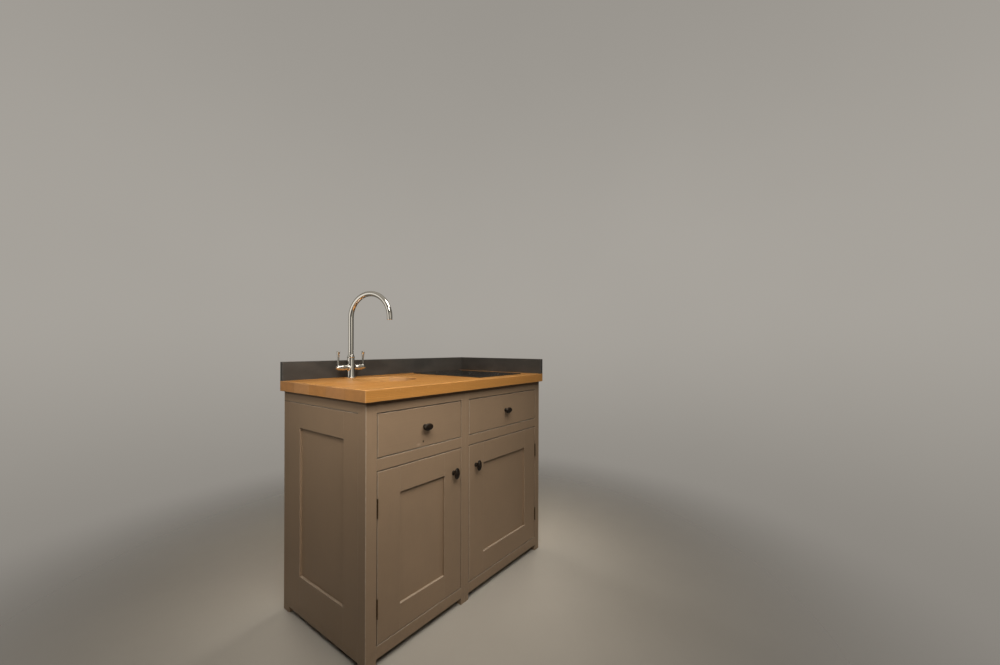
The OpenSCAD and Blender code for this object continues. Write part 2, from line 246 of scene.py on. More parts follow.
def paint_material():
    """Brushed satin paint, warm mushroom, on timber. The brush follows each board."""
    g = Graph("mushroom_paint")
    grain, board, arris = g.attr("grain", "Vector"), g.attr("board"), g.attr("arris")
    at = g.place()
    cloud = g.noise(at, 3.2, 4, 0.55)
    mottle = g.noise(at, 26.0, 3, 0.6)
    streak = g.noise(g.vmul(grain, (5.0, 260.0, 260.0)), 1.0, 3, 0.62)
    hair = g.noise(g.vmul(grain, (16.0, 1300.0, 1300.0)), 1.0, 2, 0.5)
    base = g.mix(g.fit(cloud, 0.3, 0.7), (0.258, 0.184, 0.124), (0.284, 0.200, 0.133))
    t = g.add(g.fit(streak, 0.25, 0.75, 0.972, 1.028), g.fit(mottle, 0.3, 0.7, -0.018, 0.018))
    t = g.add(t, g.fit(board, 0.0, 1.0, -0.016, 0.016))
    t = g.add(t, g.fit(hair, 0.3, 0.7, -0.010, 0.010))
    colour = g.tone(base, t)
    # edges a little paler along the eased arrises: partly rubbed by hands and cloths, partly a painted highlight
    rub_and_highlight = g.mul(arris, g.fit(g.noise(at, 55.0, 4, 0.65), 0.34, 0.64, 0.18, 0.56))
    colour = g.mix(rub_and_highlight, colour, (0.450, 0.388, 0.324))
    # the joint under the end's top rail is painted dark: painted shade in the groove
    where = g.split(at)
    seam_shade = g.fit(g.math("ABSOLUTE", g.sub(where[2], 0.8300)), 0.0007, 0.0016, 0.9, 0.0)
    seam_shade = g.mul(seam_shade, g.fit(where[0], -0.4990, -0.4980, 1.0, 0.0))
    seam_shade = g.mul(seam_shade, g.fit(where[1], -0.2175, -0.2165, 0.0, 1.0))
    colour = g.mix(seam_shade, colour, (0.060, 0.044, 0.030))
    # darker in patches near the floor
    z = g.split(at)[2]
    low = g.mul(g.fit(z, 0.0, 0.09, 1.0, 0.0, True), g.fit(g.noise(at, 34.0, 5, 0.7), 0.42, 0.7, 0.0, 0.55))
    colour = g.mix(low, colour, (0.155, 0.118, 0.086))
    # the ledges and other up-facing faces are painted paler: painted light from above, partly fine dust
    tilt = g.split(g.normal())[2]
    dust = g.mul(g.fit(tilt, 0.45, 0.95), g.fit(g.noise(at, 70.0, 4, 0.6), 0.25, 0.75, 0.45, 1.0))
    # but not on the tops of the doors and drawer fronts, shut away under their rails: these are painted dark, a painted
    # shade in the gaps
    door_top = g.fit(g.math("ABSOLUTE", g.sub(where[2], 0.6370)), 0.0005, 0.0011, 1.0, 0.0)
    drawer_top = g.fit(g.math("ABSOLUTE", g.sub(where[2], 0.8270)), 0.0005, 0.0011, 1.0, 0.0)
    gap_shade = g.mul(g.add(door_top, drawer_top), g.fit(tilt, 0.60, 0.90))
    dust = g.mul(dust, g.sub(1.0, gap_shade))
    colour = g.mix(g.mul(gap_shade, 0.62), colour, (0.070, 0.049, 0.034))
    # up-facing faces mixed paler: painted light from above, partly dust
    colour = g.mix(g.mul(dust, 0.50), colour, (0.500, 0.440, 0.370))
    # the undersides are painted darker: painted shade
    underside_shade = g.mul(g.fit(tilt, -0.95, -0.60, 1.0, 0.0), g.fit(g.noise(at, 60.0, 3, 0.6), 0.25, 0.75, 0.62, 0.88))
    colour = g.mix(underside_shade, colour, (0.052, 0.034, 0.021))
    # a small chip and a scuff on the left drawer front, under its knob
    chip_at = g.vadd(at, tuple(-c for c in D(241.0, 0.0, 701.5)))
    wob = g.mul(g.sub(g.noise(at, 420.0, 2, 0.5), 0.5), 0.0022)
    chip = g.fit(g.add(g.length(g.vmul(chip_at, (0.9, 0.5, 0.75))), wob), 0.0027, 0.0036, 1.0, 0.0)
    scuff_at = g.vadd(at, tuple(-c for c in D(219.0, 0.0, 693.5)))
    scuff = g.fit(g.add(g.length(g.vmul(scuff_at, (0.55, 0.3, 1.0))), g.mul(wob, 2.0)), 0.0020, 0.0070, 0.62, 0.0)
    colour = g.mix(scuff, colour, (0.43, 0.315, 0.235))
    colour = g.mix(chip, colour, (0.060, 0.040, 0.024))
    height = g.add(g.mul(streak, 0.6), g.mul(hair, 0.4))
    height = g.sub(height, g.mul(chip, 1.4))
    rough = g.add(g.fit(streak, 0.3, 0.7, 0.43, 0.52), g.fit(mottle, 0.3, 0.7, -0.02, 0.03))
    g.set(Base_Color=colour, Roughness=rough, Normal=g.bump(height, 0.00022, 0.75), IOR=1.5, Specular_IOR_Level=0.32)
    return g.mat


def wood_volume(g, grain, ring, freq, warp=0.012, along=1.6):
    """Growth rings through a board: grain is the place along, across and through it, ring holds the pith's place."""
    w1 = g.noise(g.vmul(grain, (along, 9.0, 9.0)), 1.0, 3, 0.5)
    w2 = g.noise(g.vadd(g.vmul(grain, (along, 9.0, 9.0)), (7.3, 1.9, 4.1)), 1.0, 3, 0.5)
    s, r = g.split(grain), g.split(ring)
    dc = g.add(g.sub(s[1], r[0]), g.mul(g.sub(w1, 0.5), 2 * warp))
    dt = g.add(g.sub(s[2], r[1]), g.mul(g.sub(w2, 0.5), warp))
    radius = g.length(g.join(dc, dt, 0.0))
    jitter = g.noise(g.vmul(g.join(radius, 0.0, 0.0), (190.0, 1.0, 1.0)), 1.0, 1, 0.5)
    wave = g.math("SINE", g.add(g.mul(radius, freq * 2 * math.pi), g.mul(jitter, 3.2)))
    return g.fit(wave, -1.0, 1.0), radius


def oak_material():
    """Oiled oak in wide staves, with rings, pores and end grain carried through the thickness."""
    g = Graph("oak_staves")
    grain, ring = g.attr("grain", "Vector"), g.attr("ring", "Vector")
    board, arris, end = g.attr("board"), g.attr("arris"), g.attr("endgrain")
    at = g.place()
    rings, radius = wood_volume(g, grain, ring, 300.0)
    late = g.math("POWER", rings, 1.9)
    figure = g.noise(g.vmul(grain, (2.2, 38.0, 38.0)), 1.0, 4, 0.6)
    fibre = g.noise(g.vmul(grain, (26.0, 950.0, 950.0)), 1.0, 3, 0.6)
    broad = g.noise(g.vmul(grain, (0.9, 8.0, 8.0)), 1.0, 2, 0.5)
    base = g.ramp(board, [
        (0.0, (0.430, 0.192, 0.045)), (0.30, (0.455, 0.212, 0.053)), (0.55, (0.400, 0.174, 0.038)),
        (0.80, (0.440, 0.200, 0.048)), (1.0, (0.470, 0.226, 0.062)),
    ])
    t = g.fit(late, 0.0, 1.0, 1.045, 0.905)
    t = g.mul(t, g.fit(figure, 0.28, 0.72, 0.90, 1.10))
    t = g.mul(t, g.fit(fibre, 0.3, 0.7, 0.965, 1.035))
    t = g.mul(t, g.fit(broad, 0.3, 0.7, 0.92, 1.08))
    colour = g.tone(base, t)
    # open pores, thickest in the early wood of each ring
    pore = g.noise(g.vmul(grain, (75.0, 2100.0, 2100.0)), 1.0, 1, 0.5)
    pores = g.mul(g.fit(pore, 0.60, 0.70), g.fit(late, 0.15, 0.75, 0.20, 0.95))
    colour = g.mix(g.mul(pores, 0.55), colour, (0.205, 0.095, 0.032))
    # pale rays that cross the figure
    ray = g.noise(g.vmul(grain, (120.0, 330.0, 60.0)), 1.0, 2, 0.6)
    colour = g.mix(g.fit(ray, 0.63, 0.74, 0.0, 0.22), colour, (0.66, 0.43, 0.22))
    # the cut ends drink more oil and read darker and redder
    blotch = g.noise(at, 23.0, 3, 0.6)
    ends = g.tone(colour, g.fit(blotch, 0.3, 0.7, 0.80, 1.02))
    ends = g.mix(0.35, ends, g.mix(board, (0.44, 0.215, 0.085), (0.56, 0.315, 0.185)))
    colour = g.mix(end, colour, ends)
    # glue lines between the staves
    y = g.split(at)[1]
    lines = None
    for edge in STAVE_EDGES[1:-1]:
        d = g.math("ABSOLUTE", g.sub(y, (edge - 260.0) / 1000.0))
        one = g.fit(d, 0.00022, 0.00060, 1.0, 0.0)
        lines = one if lines is None else g.math("MAXIMUM", lines, one)
    colour = g.mix(g.mul(lines, 0.55), colour, (0.16, 0.078, 0.028))
    # the arris is handled paler
    colour = g.mix(g.mul(arris, 0.16), colour, (0.72, 0.47, 0.235))
    # faint rings and dulled patches from wet cups and wiping
    wear = g.noise(at, 7.5, 5, 0.62)
    rough = g.add(g.fit(wear, 0.3, 0.7, 0.30, 0.44), g.mul(pores, 0.25))
    rough = g.add(rough, g.mul(end, 0.12))
    height = g.sub(g.add(g.mul(fibre, 0.35), g.mul(late, -0.25)), g.add(g.mul(pores, 0.8), g.mul(lines, 0.7)))
    g.set(Base_Color=colour, Roughness=rough, Normal=g.bump(height, 0.00020, 0.7), IOR=1.48)
    return g.mat


def slate_material():
    g = Graph("honed_slate")
    arris = g.attr("arris")
    at = g.place()
    cloud = g.noise(g.vmul(at, (1.0, 1.0, 2.2)), 6.0, 6, 0.62, 0.4)
    fleck = g.noise(at, 900.0, 2, 0.6)
    base = g.mix(g.fit(cloud, 0.32, 0.68), (0.031, 0.030, 0.029), (0.056, 0.053, 0.050))
    colour = g.tone(base, g.fit(fleck, 0.3, 0.7, 0.86, 1.14))
    # pale veils where water has dried, and thin straight scratches
    veil = g.fit(g.noise(at, 13.0, 5, 0.7), 0.55, 0.80, 0.0, 0.30)
    colour = g.mix(veil, colour, (0.115, 0.110, 0.105))
    scratch = g.noise(g.vmul(at, (9.0, 9.0, 700.0)), 1.0, 1, 0.5, 0.3)
    scratches = g.mul(g.fit(scratch, 0.70, 0.74), g.fit(g.noise(at, 11.0, 2, 0.5), 0.45, 0.65))
    colour = g.mix(g.mul(scratches, 0.30), colour, (0.16, 0.155, 0.15))
    colour = g.mix(g.mul(arris, 0.30), colour, (0.150, 0.145, 0.140))
    layers = g.noise(g.vmul(at, (14.0, 14.0, 14.0)), 1.0, 5, 0.65)
    rough = g.add(g.fit(cloud, 0.3, 0.7, 0.42, 0.55), g.mul(veil, 0.35))
    height = g.add(g.mul(layers, 0.8), g.mul(fleck, 0.2))
    g.set(Base_Color=colour, Roughness=rough, Normal=g.bump(height, 0.00045, 0.6), IOR=1.5)
    return g.mat


def iron_material(name, dark, pale, rough_lo, rough_hi, dent, metal):
    """Waxed dark iron: nearly black, browner where it is handled."""
    g = Graph(name)
    at = g.place()
    patch = g.noise(at, 90.0, 5, 0.62)
    grainy = g.noise(at, 1400.0, 2, 0.6)
    hammer = g.voronoi(g.vadd(at, (0.013, 0.007, 0.021)), 210.0, "SMOOTH_F1")
    base = g.mix(g.fit(patch, 0.40, 0.66), dark, pale)
    colour = g.tone(base, g.fit(grainy, 0.3, 0.7, 0.85, 1.15))
    rough = g.add(g.fit(patch, 0.3, 0.7, rough_lo, rough_hi), g.fit(grainy, 0.3, 0.7, -0.04, 0.04))
    height = g.add(g.mul(hammer, dent), g.mul(grainy, 0.10))
    g.set(Base_Color=colour, Roughness=rough, Metallic=metal, Normal=g.bump(height, 0.0005, 0.55), IOR=1.5)
    return g.mat


def steel_material():
    """Spun and brushed stainless steel; the brushing runs round the bowl."""
    g = Graph("spun_steel")
    at = g.vadd(g.place(), tuple(-c for c in D(300.0, 305.0, 0.0)))
    s = g.split(at)
    rho = g.length(g.join(s[0], s[1], 0.0))
    turn = g.math("ARCTAN2", s[1], s[0])
    lines = g.noise(g.join(g.mul(rho, 2600.0), g.mul(s[2], 2600.0), g.mul(g.math("SINE", turn), 1.5)), 1.0, 3, 0.65)
    smear = g.noise(g.vmul(at, (1.0, 1.0, 0.5)), 16.0, 4, 0.6)
    drops = g.voronoi(at, 60.0)
    spots = g.fit(drops, 0.10, 0.22, 1.0, 0.0)
    colour = g.tone((0.62, 0.62, 0.61), g.fit(lines, 0.3, 0.7, 0.90, 1.06))
    colour = g.mix(g.mul(spots, g.fit(smear, 0.45, 0.7, 0.0, 0.18)), colour, (0.78, 0.78, 0.76))
    rough = g.add(g.fit(lines, 0.3, 0.7, 0.24, 0.36), g.fit(smear, 0.3, 0.7, -0.03, 0.07))
    g.set(Base_Color=colour, Roughness=rough, Metallic=1.0, Normal=g.bump(lines, 0.00004, 0.5))
    return g.mat


def chrome_material():
    g = Graph("polished_chrome")
    at = g.place()
    film = g.noise(at, 38.0, 4, 0.6)
    finger = g.fit(g.noise(at, 120.0, 5, 0.7), 0.52, 0.75)
    specks = g.fit(g.voronoi(at, 420.0), 0.06, 0.13, 1.0, 0.0)
    spots = g.mul(specks, g.fit(g.noise(at, 21.0, 2, 0.5), 0.5, 0.68))
    colour = g.mix(g.mul(finger, 0.10), (0.83, 0.825, 0.81), (0.70, 0.70, 0.69))
    colour = g.mix(g.mul(spots, 0.35), colour, (0.90, 0.90, 0.88))
    rough = g.add(g.fit(film, 0.3, 0.7, 0.045, 0.085), g.add(g.mul(finger, 0.07), g.mul(spots, 0.25)))
    g.set(Base_Color=colour, Roughness=rough, Metallic=1.0)
    return g.mat


def hob_glass_material():
    """Black ceramic glass with two printed ring zones, touch marks without lettering, and wiped dust."""
    g = Graph("ceramic_glass")
    at = g.place()
    arris = g.attr("arris")
    dust = g.noise(at, 30.0, 6, 0.7)
    wipe = g.noise(g.vmul(at, (5.0, 60.0, 60.0)), 1.0, 3, 0.55, 0.6)
    marks = None
    for (x, y), radius in (((766.0, 148.0), 72.5), ((766.0, 350.0), 90.0)):
        p = g.split(g.vadd(at, tuple(-c for c in D(x, y, 0.0))))
        d = g.math("ABSOLUTE", g.sub(g.length(g.join(p[0], p[1], 0.0)), radius / 1000.0))
        one = g.fit(d, 0.00055, 0.00085, 1.0, 0.0)
        d2 = g.math("ABSOLUTE", g.sub(g.length(g.join(p[0], p[1], 0.0)), radius / 1000.0 - 0.004))
        one = g.math("MAXIMUM", one, g.mul(g.fit(d2, 0.0002, 0.0004, 1.0, 0.0), 0.6))
        marks = one if marks is None else g.math("MAXIMUM", marks, one)
    for x in (706.0, 736.0, 796.0, 826.0):
        p = g.split(g.vadd(at, tuple(-c for c in D(x, 52.0, 0.0))))
        d = g.length(g.join(p[0], p[1], 0.0))
        dot = g.fit(g.math("ABSOLUTE", g.sub(d, 0.0042)), 0.00028, 0.0005, 1.0, 0.0)
        marks = g.math("MAXIMUM", marks, dot)
    top = g.fit(g.split(at)[2], 0.9146, 0.9149)
    marks = g.mul(marks, top)
    colour = g.mix(g.fit(dust, 0.45, 0.75), (0.0055, 0.0055, 0.006), (0.013, 0.013, 0.0135))
    colour = g.mix(g.mul(marks, 0.85), colour, (0.20, 0.20, 0.20))
    colour = g.mix(g.mul(arris, 0.7), colour, (0.030, 0.032, 0.032))
    rough = g.add(g.fit(wipe, 0.3, 0.75, 0.035, 0.085), g.add(g.mul(g.fit(dust, 0.5, 0.8), 0.10), g.mul(marks, 0.22)))
    g.set(Base_Color=colour, Roughness=rough, IOR=1.52)
    return g.mat


def coated_steel_material():
    g = Graph("grey_coated_steel")
    at = g.place()
    peel = g.noise(at, 700.0, 2, 0.5)
    cloud = g.noise(at, 18.0, 4, 0.6)
    colour = g.mix(g.fit(cloud, 0.3, 0.7), (0.105, 0.107, 0.110), (0.135, 0.136, 0.138))
    colour = g.tone(colour, g.fit(peel, 0.3, 0.7, 0.94, 1.06))
    g.set(Base_Color=colour, Roughness=g.fit(cloud, 0.3, 0.7, 0.42, 0.52), Normal=g.bump(peel, 0.00008, 0.6))
    return g.mat


def board_material(name, pale, deep, order=None, ply=True, freq=210.0):
    """Lacquered wood for the insides. With order, the board's own directions come from the place: its axes along, across and through."""
    g = Graph(name)
    at = g.place()
    if order is None:
        grain, ring, board, end = g.attr("grain", "Vector"), g.attr("ring", "Vector"), g.attr("board"), g.attr("endgrain")
    else:
        s = g.split(at)
        grain = g.join(*[s[i] for i in order])
        ring, board, end = (0.03, -0.06, 0.4), None, None
    rings, radius = wood_volume(g, grain, ring, freq, 0.02, 1.2)
    fibre = g.noise(g.vmul(grain, (18.0, 700.0, 700.0)), 1.0, 3, 0.6)
    figure = g.noise(g.vmul(grain, (1.6, 20.0, 20.0)), 1.0, 4, 0.6)
    colour = g.mix(g.mul(g.math("POWER", rings, 2.2), 0.55), pale, deep)
    t = g.mul(g.fit(fibre, 0.3, 0.7, 0.955, 1.045), g.fit(figure, 0.3, 0.7, 0.93, 1.07))
    if board is not None:
        t = g.mul(t, g.fit(board, 0.0, 1.0, 0.96, 1.04))
    colour = g.tone(colour, t)
    if ply and order is None:
        # a cut edge shows the layers, turned crosswise by turns
        through = g.attr("layers")
        stripe = g.math("SINE", g.mul(through, 2 * math.pi / 0.0026))
        edge = g.attr("cutedge")
        layers = g.mix(g.fit(stripe, -0.25, 0.25), g.tone(colour, 0.60), g.tone(colour, 1.02))
        colour = g.mix(edge, colour, layers)
    if end is not None:
        colour = g.mix(g.mul(end, 0.4), colour, g.tone(colour, 0.72))
    g.set(Base_Color=colour, Roughness=g.fit(figure, 0.3, 0.7, 0.40, 0.50), Normal=g.bump(g.add(g.mul(fibre, 0.6), g.mul(rings, 0.3)), 0.00012, 0.5), IOR=1.48)
    return g.mat


def zinc_material():
    g = Graph("bright_zinc")
    at = g.place()
    n = g.noise(at, 300.0, 4, 0.6)
    colour = g.mix(g.fit(n, 0.35, 0.65), (0.46, 0.46, 0.45), (0.60, 0.59, 0.56))
    g.set(Base_Color=colour, Roughness=g.fit(n, 0.3, 0.7, 0.28, 0.42), Metallic=1.0, Normal=g.bump(n, 0.00005, 0.4))
    return g.mat


def brass_material():
    g = Graph("dull_brass")
    at = g.place()
    n = g.noise(at, 160.0, 5, 0.65)
    colour = g.mix(g.fit(n, 0.35, 0.65), (0.48, 0.33, 0.12), (0.62, 0.45, 0.19))
    g.set(Base_Color=colour, Roughness=g.fit(n, 0.3, 0.7, 0.28, 0.45), Metallic=1.0, Normal=g.bump(n, 0.00008, 0.4))
    return g.mat


def rubber_material():
    g = Graph("black_rubber")
    at = g.place()
    n = g.noise(at, 500.0, 3, 0.6)
    colour = g.mix(g.fit(n, 0.3, 0.7), (0.012, 0.012, 0.012), (0.026, 0.026, 0.026))
    g.set(Base_Color=colour, Roughness=g.fit(n, 0.3, 0.7, 0.60, 0.75), Normal=g.bump(n, 0.0001, 0.5))
    return g.mat


STAVE_EDGES = [-22.0, 94.0, 208.0, 322.0, 436.0, 548.0]

PAINT = paint_material()
OAK = oak_material()
SLATE = slate_material()
KNOB_IRON = iron_material("waxed_iron", (0.0070, 0.0036, 0.0018), (0.021, 0.0122, 0.0066), 0.17, 0.26, 0.05, 0.30)
HINGE_IRON = iron_material("bronzed_steel", (0.090, 0.058, 0.034), (0.150, 0.105, 0.066), 0.30, 0.44, 0.03, 1.0)
STEEL = steel_material()
CHROME = chrome_material()
HOB_GLASS = hob_glass_material()
COATED = coated_steel_material()
BIRCH = board_material("lacquered_birch", (0.655, 0.500, 0.330), (0.520, 0.370, 0.220))
BIRCH_FLAT = board_material("lacquered_birch_base", (0.655, 0.500, 0.330), (0.520, 0.370, 0.220), order=(0, 1, 2), ply=False)
BEECH = board_material("lacquered_beech", (0.600, 0.430, 0.265), (0.480, 0.320, 0.180), ply=False, freq=260.0)
BEECH_RUNNER = board_material("lacquered_beech_runner", (0.600, 0.430, 0.265), (0.480, 0.320, 0.180), order=(1, 0, 2), ply=False, freq=260.0)
ZINC = zinc_material()
BRASS = brass_material()
RUBBER = rubber_material()


# ------------------------------------------------------------------ mesh helpers

def link(me, name):
    ob = bpy.data.objects.new(name, me)
    bpy.context.scene.collection.objects.link(ob)
    return ob


def evaluated(ob):
    """The object's mesh with its modifiers applied, in place of the one it had."""
    bpy.context.view_layer.update()
    dg = bpy.context.evaluated_depsgraph_get()
    me = bpy.data.meshes.new_from_object(ob.evaluated_get(dg), preserve_all_data_layers=True, depsgraph=dg)
    old = ob.data
    ob.modifiers.clear()
    ob.data = me
    bpy.data.meshes.remove(old)
    return ob


def weld_normals(ob):
    m = ob.modifiers.new("normals", "WEIGHTED_NORMAL")
    m.mode = "FACE_AREA"
    m.weight = 100
    m.keep_sharp = True
    return m


def boxes_of(node):
    """The box of each separate solid of a CAD node, as two numpy corners."""
    me = frame["nodes"][node].data
    co = np.empty(len(me.vertices) * 3)
    me.vertices.foreach_get("co", co)
    co = co.reshape(-1, 3)
    seen, index = {}, []
    for c in np.round(co * 1e5).astype(int):
        index.append(seen.setdefault(tuple(c), len(seen)))
    top = list(range(len(seen)))

    def root(i):
        while top[i] != i:
            top[i] = top[top[i]]
            i = top[i]
        return i

    for e in me.edges:
        a, b = root(index[e.vertices[0]]), root(index[e.vertices[1]])
        if a != b:
            top[a] = b
    groups = {}
    for i, c in enumerate(co):
        groups.setdefault(root(index[i]), []).append(c)
    out = [(np.round(np.min(v, 0), 5), np.round(np.max(v, 0), 5)) for v in groups.values()]
    return sorted(out, key=lambda b: (tuple(b[0]), tuple(b[1])))


TOUCH = 0.0004


def joint_states(lo, hi, axis, corner, others):
    """Along one edge of a box: (cuts, is_joint) where another board carries its surface on past the edge."""
    b, c = [i for i in range(3) if i != axis]
    fixed = {b: hi[b] if corner[0] else lo[b], c: hi[c] if corner[1] else lo[c]}
    near = []
    for l2, h2 in others:
        if all(fixed[i] > l2[i] - TOUCH and fixed[i] < h2[i] + TOUCH for i in (b, c)) and h2[axis] > lo[axis] and l2[axis] < hi[axis]:
            near.append((l2, h2))
    cuts = sorted({round(float(v), 6) for l2, h2 in near for v in (l2[axis], h2[axis]) if lo[axis] + 1e-4 < v < hi[axis] - 1e-4})
    stops = [float(lo[axis])] + cuts + [float(hi[axis])]
    states = []
    for s, e in zip(stops, stops[1:]):
        mid = (s + e) / 2
        joined = False
        for face in (b, c):
            other = c if face == b else b
            out = 1 if fixed[face] == hi[face] else -1
            inn = -1 if fixed[other] == hi[other] else 1
            p = [0.0, 0.0, 0.0]
            p[axis], p[face], p[other] = mid, fixed[face] + out * 0.0003, fixed[other] + inn * 0.0006
            for l2, h2 in near:
                if all(l2[i] - TOUCH * 0.6 < p[i] < h2[i] + TOUCH * 0.6 for i in range(3)):
                    joined = True
        states.append(joined)
    return stops, states


def timber(name, nodes, body, mat, r=0.0012, rj=0.00022, grain=None, segments=3, ply=False, planes=()):
    """Boards for the CAD nodes: a box each, with eased free edges, nearly sharp ones where it meets the next board, and its grain directions."""
    nodes = [nodes] if isinstance(nodes, str) else nodes
    boards = [b for n in nodes for b in boxes_of(n)]
    widest = max([r] + [p[2] for p in planes])
    bm = bmesh.new()
    layer = bm.edges.layers.float.new("bevel_weight_edge")
    others_all = BOARDS[body]
    for lo, hi in boards:
        others = [o for o in others_all if not (np.allclose(o[0], lo) and np.allclose(o[1], hi))
                  and np.all(o[1] > lo - TOUCH) and np.all(o[0] < hi + TOUCH)]
        info = {}
        cuts = [set(), set(), set()]
        for axis in range(3):
            for corner in ((0, 0), (0, 1), (1, 0), (1, 1)):
                stops, states = joint_states(lo, hi, axis, corner, others)
                info[(axis, corner)] = (stops, states)
                for i in range(1, len(states)):
                    if states[i] != states[i - 1]:
                        for dv in (-0.0015, 0.0, 0.0015):
                            v = stops[i] + dv
                            if lo[axis] + 5e-4 < v < hi[axis] - 5e-4:
                                cuts[axis].add(round(v, 6))
        grid = []
        for axis in range(3):
            vals = sorted({float(lo[axis]), float(hi[axis])} | cuts[axis])
            kept = [vals[0]]
            for v in vals[1:]:
                if v - kept[-1] > 2e-4 or v == vals[-1]:
                    kept.append(v)
            grid.append(kept)
        n = [len(v) for v in grid]
        verts = {}

        def vert(i, j, k):
            if (i, j, k) not in verts:
                verts[(i, j, k)] = bm.verts.new((grid[0][i], grid[1][j], grid[2][k]))
            return verts[(i, j, k)]

        for axis in range(3):
            u, w = [i for i in range(3) if i != axis]
            for side in (0, 1):
                for a in range(n[u] - 1):
                    for b in range(n[w] - 1):
                        quad = []
                        for da, db in ((0, 0), (1, 0), (1, 1), (0, 1)):
                            idx = [0, 0, 0]
                            idx[axis] = (n[axis] - 1) if side else 0
                            idx[u], idx[w] = a + da, b + db
                            quad.append(vert(*idx))
                        flip = (side == 1) != (axis == 1)
                        bm.faces.new(quad if flip else quad[::-1])
        where = {v: k for k, v in verts.items()}
        bm.edges.ensure_lookup_table()
        for v, key in where.items():
            for e in v.link_edges:
                w = e.other_vert(v)
                k2 = where.get(w)
                if k2 is None or key > k2:
                    continue
                axis = [i for i in range(3) if key[i] != k2[i]]
                if len(axis) != 1:
                    continue
                axis = axis[0]
                rest = [i for i in range(3) if i != axis]
                if not all(key[i] in (0, n[i] - 1) for i in rest):
                    continue
                corner = tuple(int(key[i] == n[i] - 1 and n[i] > 1) for i in rest)
                mid = (v.co[axis] + w.co[axis]) / 2
                stops, states = info[(axis, corner)]
                joined = states[-1]
                for s, t, st in zip(stops, stops[1:], states):
                    if s <= mid <= t:
                        joined = st
                        break
                size, special = (rj if joined else r), False
                for pa, pv, pr, always in planes:
                    if pa != axis and abs(v.co[pa] - pv) < 1e-4 and (always or not joined):
                        size, special = (max(size, pr) if special else pr), True
                e[layer] = size / widest
    me = bpy.data.meshes.new(name)
    bm.to_mesh(me)
    bm.free()
    me.polygons.foreach_set("use_smooth", [True] * len(me.polygons))
    ob = link(me, name)
    m = ob.modifiers.new("ease", "BEVEL")
    m.width = widest
    m.offset_type = "OFFSET"
    m.limit_method = "WEIGHT"
    m.segments = segments
    m.use_clamp_overlap = False
    weld_normals(ob)
    evaluated(ob)
    grain_attributes(ob, boards, grain, ply=ply)
    dress(ob, body, mat, nodes)
    return ob


def grain_attributes(ob, boards, grain=None, ply=False, sizes=None):
    """Writes each face's board directions: grain, ring, board, arris, endgrain, and for plywood layers and cutedge."""
    me = ob.data
    nf = len(me.polygons)
    centre = np.empty(nf * 3)
    me.polygons.foreach_get("center", centre)
    centre = centre.reshape(-1, 3)
    normal = np.empty(nf * 3)
    me.polygons.foreach_get("normal", normal)
    normal = normal.reshape(-1, 3)
    lo = np.array([b[0] for b in boards])
    hi = np.array([b[1] for b in boards])
    gap = np.maximum(lo[None] - centre[:, None], 0) + np.maximum(centre[:, None] - hi[None], 0)
    depth = np.minimum(centre[:, None] - lo[None], hi[None] - centre[:, None]).min(2)
    which = np.argmin(np.linalg.norm(gap, axis=2) + np.clip(depth, 0, 0.001) * 0.01, axis=1)
    size = hi - lo
    dirs = []
    for i, s in enumerate(size):
        order = list(np.argsort(-s, kind="stable"))
        if grain is not None:
            order = [grain] + [k for k in order if k != grain]
        dirs.append(order)
    dirs = np.array(dirs)
    rng = np.random.default_rng(zlib.crc32(ob.name.encode()))
    shift = rng.uniform(0.0, 30.0, len(boards))
    seed = rng.uniform(0.0, 1.0, len(boards))
    pith = np.stack([rng.uniform(-0.05, 0.05, len(boards)), -rng.uniform(0.015, 0.09, len(boards)), seed], 1)
    # faces on the flat have a normal along an axis, the eased strips don't
    flat = np.abs(normal).max(1) > 0.9999
    along = dirs[which, 0]
    endn = np.abs(normal[np.arange(nf), along])
    layer_axis = dirs[which, 2]
    me_attr = me.attributes
    co = np.empty(len(me.vertices) * 3)
    me.vertices.foreach_get("co", co)
    co = co.reshape(-1, 3)
    loops = np.empty(len(me.loops), int)
    me.loops.foreach_get("vertex_index", loops)
    start = np.empty(nf, int)
    total = np.empty(nf, int)
    me.polygons.foreach_get("loop_start", start)
    me.polygons.foreach_get("loop_total", total)
    face_of = np.repeat(np.arange(nf), total)
    order = np.argsort(np.concatenate([np.arange(s, s + t) for s, t in zip(start, total)]), kind="stable")
    face_of = face_of[order]
    p = co[loops]
    w = which[face_of]
    mid = (lo + hi) / 2
    rel = p - mid[w]
    d = dirs[w]
    rows = np.arange(len(p))
    vec = np.stack([rel[rows, d[:, 0]] + shift[w], rel[rows, d[:, 1]], rel[rows, d[:, 2]]], 1)
    a = me_attr.new("grain", "FLOAT_VECTOR", "CORNER")
    a.data.foreach_set("vector", vec.astype(np.float32).ravel())
    a = me_attr.new("ring", "FLOAT_VECTOR", "FACE")
    a.data.foreach_set("vector", pith[which].astype(np.float32).ravel())
    a = me_attr.new("board", "FLOAT", "FACE")
    a.data.foreach_set("value", seed[which].astype(np.float32))
    a = me_attr.new("arris", "FLOAT", "FACE")
    a.data.foreach_set("value", (~flat).astype(np.float32))
    a = me_attr.new("endgrain", "FLOAT", "FACE")
    a.data.foreach_set("value", (endn > 0.7).astype(np.float32))
    if ply:
        a = me_attr.new("layers", "FLOAT", "CORNER")
        a.data.foreach_set("value", vec[:, 2].astype(np.float32))
        facing = np.abs(normal[np.arange(nf), layer_axis])
        a = me_attr.new("cutedge", "FLOAT", "FACE")
        a.data.foreach_set("value", (facing < 0.7).astype(np.float32))


def dress(ob, body, mat, nodes=()):
    """Gives the piece its material and body, and hides the CAD nodes it stands for."""
    ob.data.materials.clear()
    for m in (mat if isinstance(mat, (list, tuple)) else [mat]):
        ob.data.materials.append(m)
    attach(ob, body)
    if nodes:
        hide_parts(*([nodes] if isinstance(nodes, str) else nodes))
    return ob


